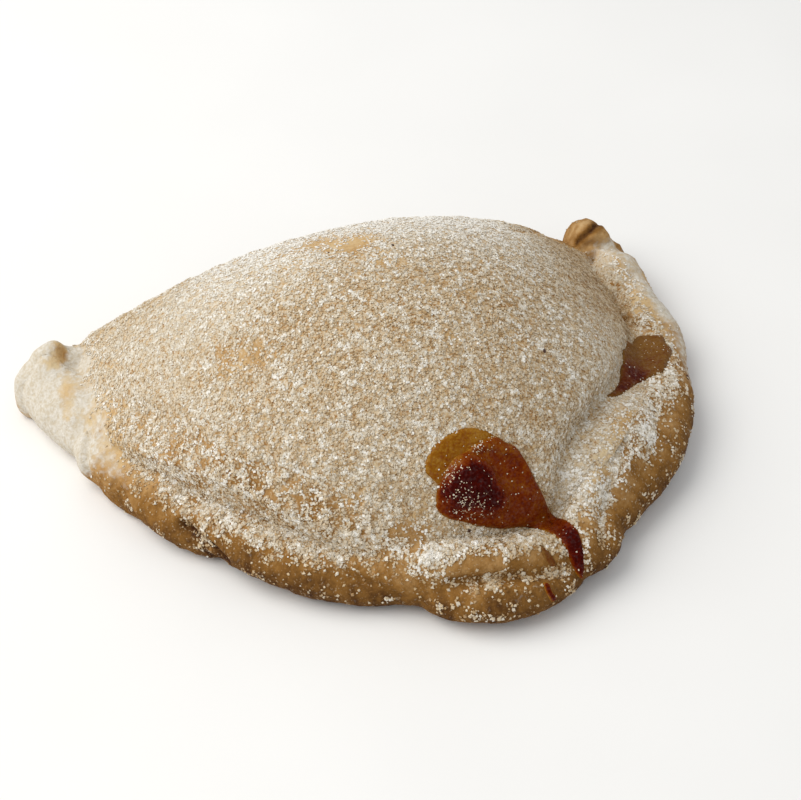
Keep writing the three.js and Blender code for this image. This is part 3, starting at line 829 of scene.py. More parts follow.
def sugar_at(points, place, zone, wave, covered, band, flour):
    """Sugar that lies evenly above its line and in clumps on the bare outer face."""
    level = 0.81 + 0.13 * zone.left + 0.05 * zone.low_middle + (0.3 - 0.25 * zone.low_right) * zone.right
    level = mix(level, 0.73, zone.edge) + 0.25 * band
    specks = 0.5 - 0.3 * zone.low_middle - 0.25 * zone.left - 0.35 * zone.right + 0.65 * zone.edge
    gaps = specks * wave.speckle + (0.1 + 0.65 * zone.edge) * wave.patch
    clumps = 0.5 * smoothstep(0.12, 0.3, wave.patch + 0.6 * wave.speckle) * keyed(FACE_SUGAR, place)
    sugar = mix(clumps, level + gaps + 0.15 * wave.broad, covered)
    heaped = (0.8 + 4 * wave.speckle) * spots(points, HEAPED)
    sugar += heaped + (1.1 + 2.2 * wave.speckle) * crease_shade(points, "sugar")
    sugar -= spots(points, BARE) + 0.7 * flour
    return np.clip(sugar, 0, 1.2)


def pale_and_painted_light_at(points, zone, wave, covered, band, flour):
    """How white the sugar and the flour are, with painted light on the top, the right edge and the lower
    right, and painted shade on the right of the dome.
    """
    # The top's paleness is partly whiter sugar and partly painted light.
    pale = 0.46 + 0.04 * zone.low_middle + 0.1 * zone.left + (0.64 - 0.51 * zone.left) * zone.high
    # Painted light makes the right edge and the lower right paler; painted shade makes the rest of the
    # dome's right side darker.
    pale = pale + 0.1 * band + 0.12 * zone.right_edge
    pale += 0.1 * zone.low_right - 0.24 * zone.right * (1 - zone.low_right) * (1 - zone.edge)
    pale = mix(mix(0.5, 0.3, zone.edge), pale, np.maximum(covered, flour))
    return pale + 0.25 * flour + spots(points, PALE) + 0.12 * wave.patch


def crust_state(points, place, inset, fields):
    """Values that steer the crust's look and its grains at every point.

    The sugar lies above a line round the edge, with a thicker band along its front.
    """
    turn = round_edge(points, inset)
    zone = Zones(points, turn)
    wave = Waves(points, fields)
    line = keyed(SUGAR_LINE, place) + 26 * wave.mottle + 30 * wave.speckle
    covered = smoothstep(-SUGAR_LINE_SOFTNESS, SUGAR_LINE_SOFTNESS, turn - line)
    band = bell(turn - line, 14, 14) * smoothstep(0.12, 0.17, place) * smoothstep(0.56, 0.5, place)
    flour = flour_at(points, wave)
    sugar = sugar_at(points, place, zone, wave, covered, band, flour)
    size = mix(0.92 - 0.18 * zone.right, 1.04 - 0.08 * zone.right_edge, zone.edge)
    return {
        "toast": toast_at(points, place, inset, zone, wave, fields[0]),
        "flour": flour,
        "sugar": sugar,
        "pale": pale_and_painted_light_at(points, zone, wave, covered, band, flour),
        "coarse": size - 0.14 * zone.left - 0.17 * zone.high,
        "dusting": 0.75 * keyed(FACE_SUGAR, place) * zone.edge * (1 - flour),
        "dust": sugar - 0.17 * zone.edge,
    }


# ---- Loose sugar
CUBE = (
    [(-1, -1, -1), (1, -1, -1), (1, 1, -1), (-1, 1, -1), (-1, -1, 1), (1, -1, 1), (1, 1, 1), (-1, 1, 1)],
    [(0, 3, 2, 1), (4, 5, 6, 7), (0, 1, 5, 4), (1, 2, 6, 5), (2, 3, 7, 6), (3, 0, 4, 7)],
)
DOUBLE_PYRAMID = (
    [(1.3, 0, 0), (0, 1.3, 0), (-1.3, 0, 0), (0, -1.3, 0), (0, 0, 1.5), (0, 0, -1.5)],
    [(0, 1, 4), (1, 2, 4), (2, 3, 4), (3, 0, 4), (1, 0, 5), (2, 1, 5), (3, 2, 5), (0, 3, 5)],
)
PRISM = (
    [(-1, -0.9, -1), (1.1, -0.8, -1), (0, 1.1, -1), (-1, -0.9, 1), (1.1, -0.8, 1), (0, 1.1, 1)],
    [(0, 2, 1), (3, 4, 5), (0, 1, 4, 3), (1, 2, 5, 4), (2, 0, 3, 5)],
)
CHIP = (
    [(1, 1, 1), (1, -1, -1), (-1, 1, -1), (-1, -1, 1)],
    [(0, 1, 2), (0, 3, 1), (0, 2, 3), (1, 3, 2)],
)
SPARE_GRAINS = 1.7  # grains tried for each one kept
CLUMP_SIZE = 0.75
CLUMP_LOOSENESS = 0.45
CLUMP_MIDDLE = 0.56
TONE_SPREAD = 0.5
FINE_AND_COARSE = (0.72, 0.92)  # sizes between which the grains' tones spread out
# Kinds of grain: shape, half size, how many on the crust, how many on the jam, power of
# the sugar field
GRAINS = {
    "sugar_cubes": (CUBE, (0.15, 0.26), 16000, 35, 1.5),
    "sugar_points": (DOUBLE_PYRAMID, (0.14, 0.24), 24000, 90, 1.5),
    "sugar_splinters": (PRISM, (0.14, 0.24), 24000, 90, 1.4),
    "sugar_chips": (CHIP, (0.14, 0.25), 47000, 200, 1.5),
}
# Grains stuck to the jam: centre, radius, how thick they lie
JAM_GRAINS = [
    (4.5, -70, 19.5, 2.2, 1), (2.6, -68.8, 21.5, 2, 0.5), (6.8, -71, 18, 1.8, 0.45),
    (3, -66.5, 24.5, 2.2, 0.5), (8.5, -64, 26.5, 1.6, 0.5), (11.5, -63, 27, 1.6, 0.5),
    (57, -34, 12.5, 2.2, 0.5), (62, -36, 11.5, 2.2, 0.4),
]
JAM_GRAINS_BASE = 0.03
GRAIN_FOOT_PAINTED_SHADE = 0.16  # painted shade: how much browner and darker a grain is painted towards its foot
GRAIN_FLATNESS = (0.45, 0.7)  # how flat coarse and fine grains lie on the crust
STRAY_GRAINS = 0.02  # chance of a grain on bare dough
JAM_TOP = np.array([0, -0.5, 0.8])  # direction that the grains on the jam lie towards
JAM_WITH_GRAINS = {"jam_sheet": 0.75, "jam_film": 0.15, "jam_side": 0.1}  # share of the jam's grains


def scatter(mesh, weight, count, rng, field, looks=None):
    """Random points on a mesh, thick where its weight is high and in small clumps."""
    corners, points = triangles_of(mesh), points_of(mesh)
    a, b, c = (points[corners[:, k]] for k in range(3))
    facing = np.cross(b - a, c - a)
    area = np.linalg.norm(facing, axis=1)
    chance = area * np.clip(weight[corners].mean(1), 0, None)
    tries = int(count * SPARE_GRAINS)
    chosen = rng.choice(len(corners), tries, p=chance / chance.sum())
    u, v = rng.random((2, tries, 1))
    over = u + v > 1
    u, v = np.where(over, 1 - u, u), np.where(over, 1 - v, v)
    place = a[chosen] + u * (b - a)[chosen] + v * (c - a)[chosen]
    clump = field(place, CLUMP_SIZE, 2)
    kept = np.argsort(clump + CLUMP_LOOSENESS * rng.random(tries))[-count:]
    if looks is None:
        looks = np.full((2, len(points)), 0.5)
    middle, coarse = (values[corners[chosen[kept]]].mean(1) for values in looks)
    spread = mix(0.55, 1, smoothstep(*FINE_AND_COARSE, coarse))
    tone = spread * np.clip(2.2 - 1.8 * middle, 0.6, 1.4) * (clump[kept] - CLUMP_MIDDLE)
    tone += middle + TONE_SPREAD * spread * (rng.random(count) - 0.5)
    return place[kept], unit(facing)[chosen[kept]], tone, coarse


def random_turns(count, rng):
    """Rotation matrices, evenly spread."""
    w, x, y, z = unit(rng.normal(size=(count, 4))).T
    return np.stack([
        np.stack([1 - 2 * (y * y + z * z), 2 * (x * y - z * w), 2 * (x * z + y * w)], -1),
        np.stack([2 * (x * y + z * w), 1 - 2 * (x * x + z * z), 2 * (y * z - x * w)], -1),
        np.stack([2 * (x * z - y * w), 2 * (y * z + x * w), 1 - 2 * (x * x + y * y)], -1),
    ], 1)


def grain_mesh(name, shape, size, place, facing, tone, flatness, rng):
    """One joined mesh of crystals, each turned and stretched at random, with painted shade that makes
    each browner and darker underneath.
    """
    count = len(place)
    corners = np.array(shape[0], float)
    size = size[:, None, None] * rng.uniform(0.75, 1.25, (count, 1, 3))
    turned = np.einsum("nij,nkj->nki", random_turns(count, rng), corners * size)
    height = np.einsum("nki,ni->nk", turned, facing)
    turned -= (flatness[:, None] * height)[..., None] * facing[:, None]
    # Painted shade: each grain's tone falls towards its foot and rises towards its top.
    tone = tone[:, None] + GRAIN_FOOT_PAINTED_SHADE * np.clip(height / size.mean((1, 2))[:, None], -1, 1)
    lift = size.mean((1, 2))[:, None] * rng.uniform(0.1, 0.7, (count, 1))
    points = (turned + (place + facing * lift)[:, None]).reshape(-1, 3)
    start = np.arange(count) * len(corners)
    faces = [tuple(f + s for f in face) for s in start for face in shape[1]]
    mesh = mesh_of(name, points, faces)
    set_value(mesh, "tone", tone.ravel())
    return mesh


# ---- Jam
def leak_axes(facing):
    """Axes of a leak's own plane: across, up the slope, and out of the crust."""
    out = unit(np.array(facing, float))
    across = unit(np.cross((0, 0, 1), out))
    return across, np.cross(out, across), out


def inside_curve(points, curve):
    x, y = points[:, :1], points[:, 1:]
    a, b = curve, np.roll(curve, -1, 0)
    crosses = (a[:, 1] > y) != (b[:, 1] > y)
    rise = np.where(b[:, 1] == a[:, 1], 1e-9, b[:, 1] - a[:, 1])
    at = a[:, 0] + (y - a[:, 1]) / rise * (b[:, 0] - a[:, 0])
    return (crosses & (x < at)).sum(1) % 2 == 1


def curve_distance(points, curve):
    a = curve
    span = np.roll(curve, -1, 0) - a
    t = np.clip(((points[:, None] - a) * span).sum(2) / (span * span).sum(1), 0, 1)
    return np.linalg.norm(points[:, None] - a - t[..., None] * span, axis=2).min(1)


LEAK_REACH = 9.0  # how far off its plane a leak still covers the crust
LEAK_LEAN = 1.2  # how far the jam's surface leans towards its plane
LEAK_SKIN = 0.06
LEAK_ROUNDS = 14  # smoothing of the crust's shape under the jam
PROBE = (30, 28)  # where the rays down to the crust start, and how far down they give up


class Leak:
    """A pool of jam that lies on the crust, made of layers in the pool's own plane.

    A layer is an outline, its height, the width of its soft edge and its darkness.
    The first layer bounds the pool.
    """

    def __init__(self, name, origin, facing, layers, step, stains=(), sink=0.35):
        self.name = name
        self.origin = np.array(origin, float)
        self.across, self.up, self.out = leak_axes(facing)
        self.layers = [(spline(outline, True, 6), *rest) for outline, *rest in layers]
        self.curve = self.layers[0][0]
        self.step, self.stains, self.sink = step, stains, sink

    def flat(self, points):
        gap = points - self.origin
        return np.stack([gap @ self.across, gap @ self.up], -1)

    def covers(self, points):
        near = np.abs((points - self.origin) @ self.out) < LEAK_REACH
        return near & inside_curve(self.flat(points), self.curve)

    def thickness_and_tone(self, flat):
        thick, tone = np.zeros(len(flat)), np.zeros(len(flat))
        for curve, height, edge, dark in self.layers:
            depth = curve_distance(flat, curve) * np.where(inside_curve(flat, curve), 1, -1)
            depth = np.maximum(depth, 0)
            thick += height * np.sqrt(1 - (1 - np.clip(depth / edge, 0, 1)) ** 2)
            tone += dark * smoothstep(-0.1, 0.9 * edge if height > 1 else 0.5, depth)
        for x, y, radius, dark in self.stains:
            tone += dark * np.exp(-((flat - (x, y)) ** 2).sum(1) / radius**2)
        return thick, tone

    def build(self, crust, field):
        """The closed mesh, resting on the crust's own surface."""
        low, high = self.curve.min(0), self.curve.max(0)
        x, y = np.meshgrid(np.arange(low[0], high[0], self.step), np.arange(low[1], high[1], self.step))
        grid = np.stack([x.ravel(), y.ravel()], -1)
        grid[:, 0] += np.where((np.arange(len(grid)) // x.shape[1]) % 2, self.step / 2, 0)
        grid = grid[inside_curve(grid, self.curve)]
        grid = grid[curve_distance(grid, self.curve) > self.step * 0.6]
        flat = np.r_[self.curve, grid]
        rim = len(self.curve)
        ring = [(i, (i + 1) % rim) for i in range(rim)]
        verts, _, faces, _, _, _ = delaunay_2d_cdt([Vector(p) for p in flat], ring, [], 1, 1e-6)
        flat = np.array([tuple(v) for v in verts])
        rest, normal = self.crust_under(crust, flat)
        on_rim = curve_distance(flat, self.curve) < 1e-4
        thick, tone = self.thickness_and_tone(flat)
        thick = np.where(on_rim, 0, thick) * (0.8 + 0.4 * field(rest, 1.8, 2))
        tone += 0.3 * (field(rest, 2.2, 3) - 0.5)
        level = smoothed(rest, faces, on_rim, LEAK_ROUNDS)
        top = level + normal * (thick + LEAK_SKIN)[:, None]
        bottom = rest - normal * self.sink
        count = len(flat)
        solid = [tuple(f) for f in faces] + [tuple(count + i for i in reversed(f)) for f in faces]
        solid += [(a, count + a, count + b, b) for a, b in boundary_edges(faces)]
        mesh = mesh_of(self.name, np.r_[top, bottom], solid)
        reworked(mesh, turn_outward)
        set_value(mesh, "tone", np.tile(tone, 2))
        return mesh

    def crust_under(self, crust, flat):
        points, normals = [], []
        above, down = PROBE
        for a, b in flat:
            start = self.origin + a * self.across + b * self.up + above * self.out
            hit, normal, _, _ = crust.ray_cast(Vector(start), Vector(-self.out))
            if hit is None:
                hit, normal, _, _ = crust.find_nearest(Vector(start - down * self.out))
            points.append(tuple(hit))
            normals.append(tuple(normal))
        return np.array(points), unit(unit(np.array(normals)) + LEAK_LEAN * self.out)


def boundary_edges(faces):
    """Edges that only one face uses, in that face's direction."""
    used = set()
    for face in faces:
        for a, b in zip(face, (*face[1:], face[0])):
            used.add((a, b))
    return [(a, b) for a, b in used if (b, a) not in used]


def smoothed(points, faces, fixed, rounds):
    """Points drawn towards the mean of their neighbours, apart from the fixed ones."""
    edges = np.array(sorted({tuple(sorted(e)) for f in faces for e in zip(f, (*f[1:], f[0]))}))
    points = points.copy()
    count = np.bincount(edges.ravel(), minlength=len(points))[:, None]
    for _ in range(rounds):
        total = np.zeros_like(points)
        np.add.at(total, edges[:, 0], points[edges[:, 1]])
        np.add.at(total, edges[:, 1], points[edges[:, 0]])
        points = np.where(fixed[:, None], points, total / np.maximum(count, 1))
    return points


# Outlines of the jam in the plane of each leak
FRONT = dict(origin=(10, -67, 21), facing=(0.2, -0.75, 0.63))
SIDE = dict(origin=(57, -37.5, 12), facing=(0.15, -0.25, 0.95))
FILM = [
    (-10.8, 6.3), (-9, 8.7), (-6.3, 10), (-2.3, 10.4), (1.2, 9.1), (3.5, 6.5), (3, 3),
    (-2, 0), (-8, -3), (-10, -1), (-9.5, 2), (-10.3, 4.4),
]
SHEET = [
    (0.3, 7), (3.4, 6.7), (5.2, 4.6), (6.6, 3.1), (7.5, -0.5), (8.1, -5), (9.2, -8.6), (10.6, -12.6),
    (11, -15.4), (10.2, -18), (9.3, -20.5), (8.7, -22.8), (7.9, -24), (7.1, -22.6), (7.1, -20.5),
    (7.3, -18.3), (7, -16.3), (6.3, -14.2), (5, -12.8), (3, -11.6), (-1, -10), (-5, -7.6),
    (-7.3, -5.7), (-9.6, -4), (-11.1, -1.6), (-10.6, 0.9), (-8.8, 3.7), (-5.6, 6.2), (-2.5, 6.6),
]
LUMP = [
    (-1.2, 5), (-3.6, 6), (-6.4, 5), (-8.4, 2.6), (-9.2, 0.2), (-8.4, -2.4), (-6, -4.6),
    (-2.6, -6.6), (0.6, -6.2), (1.4, -3.4), (0.6, -0.5), (0.4, 2.5),
]
LIP = [
    (-1.5, 6.6), (0.5, 6.9), (3.4, 6.5), (5, 4.5), (6.4, 3), (7.3, -0.6), (7.2, -3), (6.2, -2.6),
    (5.9, 0.2), (4.4, 2.4), (3.2, 3.2), (1.6, 4.8), (-0.6, 5.4),
]
TEAR = [(2.8, -14.8), (3.7, -16), (4.2, -18), (3.9, -19.6), (2.6, -18.8), (2.4, -16.6)]
DROP = [(-0.3, -20.8), (0.7, -21.2), (0.6, -22.6), (1.1, -24.4), (0, -24.6), (-0.6, -22.5)]
GLAZE = [
    (-12.5, -0.4), (-10.4, 1), (-8.5, 1.6), (-6.2, 3.4), (-4, 3.6), (-1.5, 4.7), (1.2, 4.1), (4, 4.5),
    (5.2, 2.6), (7, 0.5), (5.6, -1.2), (5.2, -3.1), (1.5, -4.3), (-3, -5.4), (-6, -4.6), (-10.5, -3.7),
    (-14.5, -3.5), (-18.5, -3.2), (-20, -1.7), (-17.5, -1.7), (-15, -1.3),
]
# Stains of the jam: two coordinates, radius, how much darker
FILM_STAINS = [(-6, 3, 4.5, 0.15)]
SHEET_STAINS = [
    (-5.5, 6, 1.6, -0.3), (-8.2, 4, 1.4, -0.3), (-2, 6.6, 1.2, -0.25), (3.5, 5, 2.2, -0.08),
    (9.8, -17, 2.5, 0.4), (9, -21, 3, 0.45), (1.5, -8.5, 2.5, 0.08), (-6.5, 1, 3, 0.12),
    (-8.5, 0.5, 2.2, 0.28), (-7, 3.5, 2, 0.2), (-7.5, -3, 2, 0.2),
]
GLAZE_STAINS = [(-9, -2.2, 3, 0.5), (-15, -2.5, 3, 0.45), (3, 3, 4, -0.12)]
LEAKS = [
    Leak("jam_film", **FRONT, step=0.4, layers=[(FILM, 0.3, 0.9, 0.1)], stains=FILM_STAINS),
    Leak("jam_sheet", **FRONT, step=0.32, stains=SHEET_STAINS, layers=[
        (SHEET, 0.7, 1.3, 0.5), (LUMP, 1.5, 3.2, 0.5), (LIP, 0.6, 0.9, -0.06)]),
    Leak("jam_tear", **FRONT, step=0.3, layers=[(TEAR, 0.35, 0.5, 0.5)]),
    Leak("jam_drop", **FRONT, step=0.25, layers=[(DROP, 0.35, 0.5, 0.85)]),
    Leak("jam_side", **SIDE, step=0.4, layers=[(GLAZE, 0.55, 1.5, 0.32)], stains=GLAZE_STAINS),
]
LEAK_LOOKS = {
    "jam_film": ("jam_amber", "jam_leak_front"), "jam_sheet": ("jam_dark", "jam_leak_front"),
    "jam_tear": ("jam_brown", None), "jam_drop": ("jam_dark", None),
    "jam_side": ("jam_brown", "jam_leak_side"),
}


# ---- Materials
BAKED_TONES = [
    (0, (208, 187, 150)), (0.25, (199, 168, 122)), (0.45, (173, 134, 85)), (0.65, (139, 98, 47)),
    (0.85, (100, 67, 31)), (1, (58, 30, 14)),
]
FLOUR_TONES = [
    (0.3, (197, 184, 162)), (0.5, (206, 197, 181)), (0.7, (214, 207, 195)), (1.1, (228, 220, 208)),
]
DUST_TONES = [(0, (152, 110, 62)), (0.4, (200, 180, 149)), (0.9, (215, 205, 187))]
SUGAR_TONES = [
    (0, (154, 118, 74)), (0.25, (184, 156, 114)), (0.5, (202, 184, 155)), (0.8, (215, 206, 189)),
    (1, (238, 234, 226)),
]
JAM_TONES = [
    (0, (152, 106, 36)), (0.12, (138, 88, 18)), (0.35, (120, 60, 8)), (0.55, (106, 38, 3)),
    (0.8, (76, 12, 2)), (1, (54, 5, 2)),
]
JAM_BROWN_TONES = [(0, (128, 92, 46)), (0.3, (112, 74, 32)), (0.55, (98, 48, 18)), (0.85, (70, 14, 6))]
BURNT_TONES = [(0.3, (40, 18, 10)), (0.7, (84, 44, 20))]
FLOOR_TONES = [(0.3, (240, 239, 237)), (0.7, (243, 242, 240))]


def srgb(red, green, blue):
    """Linear colour of an everyday one given from 0 to 255."""
    channel = np.array([red, green, blue]) / 255
    linear = np.where(channel < 0.04045, channel / 12.92, ((channel + 0.055) / 1.055) ** 2.4)
    return (*linear.tolist(), 1.0)


class Finish:
    """A node material being put together."""

    def __init__(self, name, **shader):
        self.material = bpy.data.materials.new(name)
        self.material.use_nodes = True
        self.tree = self.material.node_tree
        self.shader = self.tree.nodes["Principled BSDF"]
        self.where = self.node("ShaderNodeTexCoord").outputs["Object"]
        for socket, value in shader.items():
            self.put(self.shader.inputs[socket.replace("_", " ")], value)

    def put(self, socket, value):
        if isinstance(value, bpy.types.NodeSocket):
            self.tree.links.new(value, socket)
        else:
            socket.default_value = value

    def node(self, kind, inputs=None, **settings):
        made = self.tree.nodes.new(kind)
        for name, value in settings.items():
            setattr(made, name, value)
        for name, value in (inputs or {}).items():
            self.put(made.inputs[name], value)
        return made

    def noise(self, size_mm, detail):
        inputs = {"Vector": self.where, "Scale": 1 / (size_mm * MM), "Detail": detail, "Roughness": 0.5}
        return self.node("ShaderNodeTexNoise", inputs).outputs["Fac"]

    def wave(self, size_mm, detail, low, high):
        return self.scaled(self.noise(size_mm, detail), 0.3, 0.7, low, high)

    def value(self, name):
        return self.node("ShaderNodeAttribute", attribute_name=name).outputs["Fac"]

    def sum(self, a, b, operation="ADD"):
        return self.node("ShaderNodeMath", {0: a, 1: b}, operation=operation).outputs[0]

    def scaled(self, value, low, high, to_low=0.0, to_high=1.0):
        inputs = {"Value": value, "From Min": low, "From Max": high, "To Min": to_low, "To Max": to_high}
        return self.node("ShaderNodeMapRange", inputs).outputs[0]

    def stirred(self, value, wave, low, high, start=0.3, end=0.7):
        """A value that a wave between start and end moves from low to high."""
        return self.sum(value, self.scaled(wave, start, end, low, high))

    def ramp(self, value, stops):
        made = self.node("ShaderNodeValToRGB", {"Fac": value})
        elements = made.color_ramp.elements
        while len(elements) < len(stops):
            elements.new(0.5)
        for element, (position, colour) in zip(elements, stops):
            element.position = position
            element.color = srgb(*colour)
        return made.outputs["Color"]

    def blend(self, share, a, b):
        made = self.node("ShaderNodeMix", data_type="RGBA")
        self.put(made.inputs["Factor"], share)
        self.put(made.inputs[6], a)
        self.put(made.inputs[7], b)
        return made.outputs[2]

    def bump(self, height, distance_mm, strength):
        inputs = {"Height": height, "Distance": distance_mm * MM, "Strength": strength}
        self.put(self.shader.inputs["Normal"], self.node("ShaderNodeBump", inputs).outputs[0])

    def set(self, socket, value):
        self.put(self.shader.inputs[socket], value)


def crust_finish():
    f = Finish("baked_crust", Specular_IOR_Level=0.06)
    fine, grainy, mottle = f.noise(0.5, 2), f.noise(1.1, 3), f.noise(5.0, 3)
    toast = f.stirred(f.stirred(f.value("toast"), mottle, -0.08, 0.08), grainy, -0.08, 0.08)
    baked = f.ramp(toast, BAKED_TONES)
    # The paleness carries painted light and painted shade as well as the sugar's and flour's own
    # whiteness.
    whiter = f.scaled(f.value("pale"), 1.0, 1.4, 0, 0.4)
    powder = f.ramp(f.sum(f.stirred(fine, grainy, -0.2, 0.2), whiter), FLOUR_TONES)
    flour = f.scaled(f.stirred(f.value("flour"), grainy, -0.25, 0.2), 0.15, 0.75)
    cover = f.stirred(f.value("dust"), fine, -0.3, 0.3)
    cover = f.scaled(f.stirred(cover, f.noise(0.9, 2), -0.3, 0.3), 0.4, 0.85)
    crystals = f.scaled(f.stirred(f.noise(0.45, 1), grainy, -0.06, 0.06), 0.6, 0.7, 0, 0.55)
    cover = f.sum(cover, f.sum(crystals, f.value("dusting"), "MULTIPLY"), "MAXIMUM")
    shade = f.stirred(f.value("pale"), f.noise(0.4, 1), -0.2, 0.2)
    shade = f.stirred(shade, f.noise(0.8, 2), -0.4, 0.15, 0.35, 0.65)
    f.set("Base Color", f.blend(cover, f.blend(flour, baked, powder), f.ramp(shade, DUST_TONES)))
    f.set("Roughness", f.scaled(fine, 0.3, 0.7, 0.6, 0.9))
    f.bump(f.sum(fine, grainy), 0.3, 0.6)
    return f.material


def sugar_finish():
    f = Finish("sugar", Specular_IOR_Level=0.4)
    f.set("Base Color", f.ramp(f.value("tone"), SUGAR_TONES))
    f.set("Roughness", f.wave(0.3, 1, 0.25, 0.5))
    f.bump(f.noise(0.15, 1), 0.03, 0.25)
    return f.material


def jam_finish(name, tones, roughness):
    f = Finish(name)
    shade = f.stirred(f.value("tone"), f.noise(1.5, 3), -0.1, 0.1)
    shade = f.stirred(shade, f.noise(0.45, 2), -0.13, 0.13)
    f.set("Base Color", f.ramp(shade, tones))
    f.set("Specular IOR Level", f.scaled(f.noise(0.6, 2), 0.5, 0.65, 0.03, 0.22))
    f.set("Roughness", f.wave(0.8, 2, roughness - 0.08, roughness + 0.12))
    f.bump(f.sum(f.noise(0.9, 3), f.noise(0.4, 2)), 0.14, 0.6)
    return f.material


def burnt_finish():
    f = Finish("burnt_sugar", Specular_IOR_Level=0.4)
    f.set("Base Color", f.ramp(f.noise(0.5, 2), BURNT_TONES))
    f.set("Roughness", f.wave(0.3, 2, 0.4, 0.6))
    f.bump(f.noise(0.3, 2), 0.05, 0.5)
    return f.material


def floor_finish():
    f = Finish("pale_floor", Specular_IOR_Level=0.2)
    f.set("Base Color", f.ramp(f.noise(60, 2), FLOOR_TONES))
    f.set("Roughness", f.wave(20, 2, 0.85, 0.95))
    f.bump(f.noise(3, 2), 0.05, 0.1)
    return f.material


# ---- Putting it together
def place_piece(name, mesh, shift, material, node=None, smooth=True):
    """A finished piece, moved from the plan's millimetres into the frame's metres."""
    set_points(mesh, (points_of(mesh) + shift) * MM)
    mesh.polygons.foreach_set("use_smooth", [smooth] * len(mesh.polygons))
    mesh.materials.clear()
    mesh.materials.append(material)
    piece = object_of(name, mesh)
    mesh.name = name
    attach(piece, "root")
    if node:
        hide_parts(node)
    return piece


SPECKS = [
    (28.3, -48.3, 30.8, 0.5), (7.6, -21, 41.3, 0.35), (-4.6, -18.2, 40.7, 0.3), (4.4, -71.8, 13.5, 0.45),
    (-4, -59.1, 29.6, 0.3), (63, -44.3, 9.1, 0.6), (-22.6, -56.2, 23.8, 0.3), (-35.7, -39.1, 24.8, 0.3),
]


def speck_mesh(crust, field, rng):
    """Burnt crumbs lying on the crust."""
    points, faces = [], []
    for *centre, size in SPECKS:
        hit, normal, _, _ = crust.find_nearest(Vector(centre))
        ball = bmesh.new()
        bmesh.ops.create_icosphere(ball, subdivisions=3, radius=1.0)
        shape = np.array([tuple(v.co) for v in ball.verts])
        shape *= 1 + 0.5 * (field(shape * 2 + centre, 1.5, 2)[:, None] - 0.5)
        shape = shape * rng.uniform(0.7, 1.3, 3) * size
        out = np.array(normal)
        shape -= 0.55 * (shape @ out)[:, None] * out
        start = len(points)
        points += (shape + np.array(hit)).tolist()
        faces += [[start + v.index for v in face.verts] for face in ball.faces]
        ball.free()
    return mesh_of("burnt_specks", points, faces)


def all_grains(crust_mesh, state, bare, leaks, field, rng):
    """The loose sugar on the crust and on the jam, one mesh for each kind of grain."""
    cover = np.where(bare, 0, state["sugar"])
    on_jam = {}
    for name in JAM_WITH_GRAINS:
        facing_out = normals_of(leaks[name]) @ JAM_TOP > 0.3
        on_jam[name] = (JAM_GRAINS_BASE + spots(points_of(leaks[name]), JAM_GRAINS)) * facing_out
    grains = {}
    for name, (shape, sizes, count, jam_count, power) in GRAINS.items():
        weight = cover**power * (1 - state["flour"]) + STRAY_GRAINS * ~bare * state["dusting"]
        # The paleness, with its painted light and shade, also sets the grains' tone.
        looks = (state["pale"], state["coarse"])
        parts = [scatter(crust_mesh, weight, count, rng, field, looks)]
        for leak, share in JAM_WITH_GRAINS.items():
            parts.append(scatter(leaks[leak], on_jam[leak], int(jam_count * share), rng, field))
        spot, facing, tone, coarse = (np.concatenate(values) for values in zip(*parts))
        size = rng.uniform(*sizes, len(spot)) * coarse
        flatness = mix(*GRAIN_FLATNESS, smoothstep(0.95, 0.7, coarse))
        grains[name] = grain_mesh(name, shape, size, spot, facing, tone, flatness, rng)
    return grains


FIELD_SEEDS = (11, 23, 37)
GRAIN_SEED = 5
UNDERSIDE = -0.2  # skin that faces further down than this holds no grains


def main():
    rim = Rim()
    fields = [Field(seed) for seed in FIELD_SEEDS]
    crust_mesh, state = build_crust(rim, fields)
    points = points_of(crust_mesh)
    crust = BVHTree.FromPolygons([Vector(p) for p in points], triangles_of(crust_mesh).tolist())
    leaks = {leak.name: leak.build(crust, fields[1]) for leak in LEAKS}
    bare = normals_of(crust_mesh)[:, 2] < UNDERSIDE
    for leak in LEAKS:
        bare |= leak.covers(points)
    rng = np.random.default_rng(GRAIN_SEED)
    grains = all_grains(crust_mesh, state, bare, leaks, fields[2], rng)
    specks = speck_mesh(crust, fields[2], rng)
    for name, values in state.items():
        set_value(crust_mesh, name, values)

    low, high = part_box("pastry")
    own_middle = (points.min(0) + points.max(0)) / 2
    shift = np.array((low + high) / 2) / MM - own_middle
    shift[2] = 0
    jams = {
        "jam_amber": jam_finish("jam_amber", JAM_TONES, 0.35),
        "jam_brown": jam_finish("jam_brown", JAM_BROWN_TONES, 0.45),
        "jam_dark": jam_finish("jam_dark", JAM_TONES, 0.3),
    }
    place_piece("crust", crust_mesh, shift, crust_finish(), "pastry")
    sugar = sugar_finish()
    for name, mesh in grains.items():
        place_piece(name, mesh, shift, sugar, smooth=False)
    for name, mesh in leaks.items():
        slot, node = LEAK_LOOKS[name]
        place_piece(name, mesh, shift, jams[slot], node)
    place_piece("burnt_specks", specks, shift, burnt_finish())
    return shift


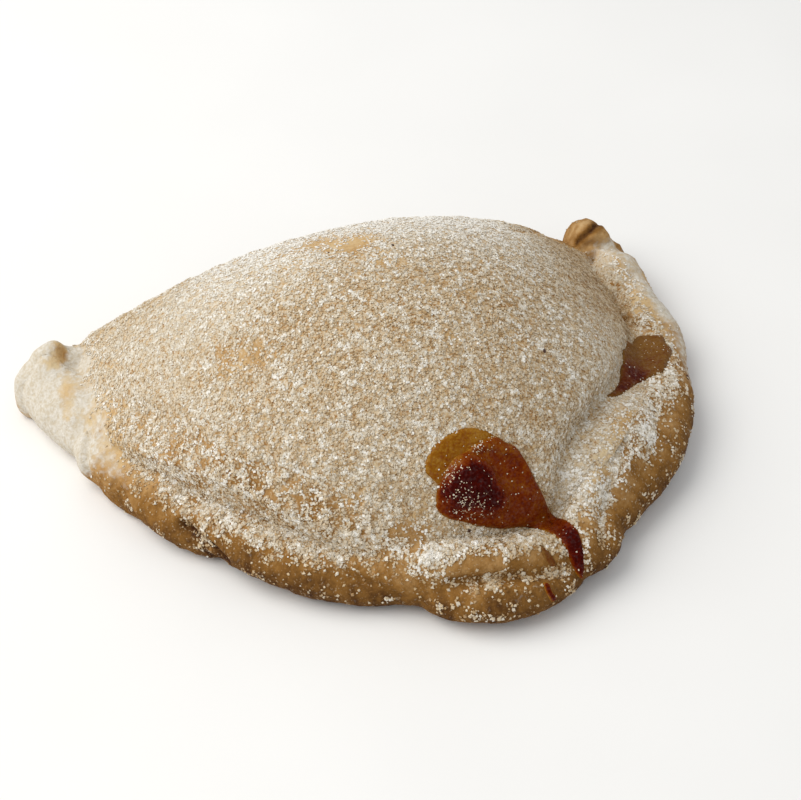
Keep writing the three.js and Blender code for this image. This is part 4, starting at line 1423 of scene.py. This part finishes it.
# ---- Stage
CAMERA_TURN = math.radians(-19.62)
CAMERA_RISE = math.radians(44.0)
CAMERA_DISTANCE = 0.343
CAMERA_TARGET = (8.77, -22.05, 0.0)  # in the plan's millimetres
CAMERA_LENS = 73.75
KEY_DIRECTION = (-0.6, 0.21, 0.77)
KEY_DISTANCE = 0.75
KEY_SIZE = 0.8
KEY_POWER = 4.85
KEY_COLOUR = (1.0, 0.98, 0.94)
KEY_AIM = (0, -0.01, 0.02)
SKY_STRENGTH = 0.62
SKY_COLOUR = (0.96, 0.98, 1.0, 1.0)
FLOOR_SIZE = 6.0


def add_floor():
    bpy.ops.mesh.primitive_plane_add(size=FLOOR_SIZE)
    floor = bpy.context.object
    floor.name = "floor"
    floor.data.materials.append(floor_finish())


def add_camera(target):
    camera = object_of("camera", bpy.data.cameras.new("camera"))
    back = Vector((
        math.sin(CAMERA_TURN) * math.cos(CAMERA_RISE),
        -math.cos(CAMERA_TURN) * math.cos(CAMERA_RISE),
        math.sin(CAMERA_RISE),
    ))
    camera.location = Vector(target) + back * CAMERA_DISTANCE
    camera.rotation_mode = "QUATERNION"
    camera.rotation_quaternion = (-back).to_track_quat("-Z", "Y")
    camera.data.lens = CAMERA_LENS
    camera.data.sensor_width = 36
    bpy.context.scene.camera = camera


def add_key_light():
    data = bpy.data.lights.new("key", "AREA")
    data.shape = "DISK"
    data.size = KEY_SIZE
    data.energy = KEY_POWER
    data.color = KEY_COLOUR
    lamp = object_of("key", data)
    towards = Vector(KEY_DIRECTION).normalized()
    lamp.location = towards * KEY_DISTANCE + Vector(KEY_AIM)
    lamp.rotation_mode = "QUATERNION"
    lamp.rotation_quaternion = towards.to_track_quat("Z", "Y")


def add_sky():
    world = bpy.data.worlds.new("studio")
    world.use_nodes = True
    background = world.node_tree.nodes["Background"]
    background.inputs["Color"].default_value = SKY_COLOUR
    background.inputs["Strength"].default_value = SKY_STRENGTH
    bpy.context.scene.world = world


shift = main()
add_floor()
add_camera((np.array(CAMERA_TARGET) + shift) * MM)
add_key_light()
add_sky()
bpy.context.scene.view_settings.view_transform = "Standard"
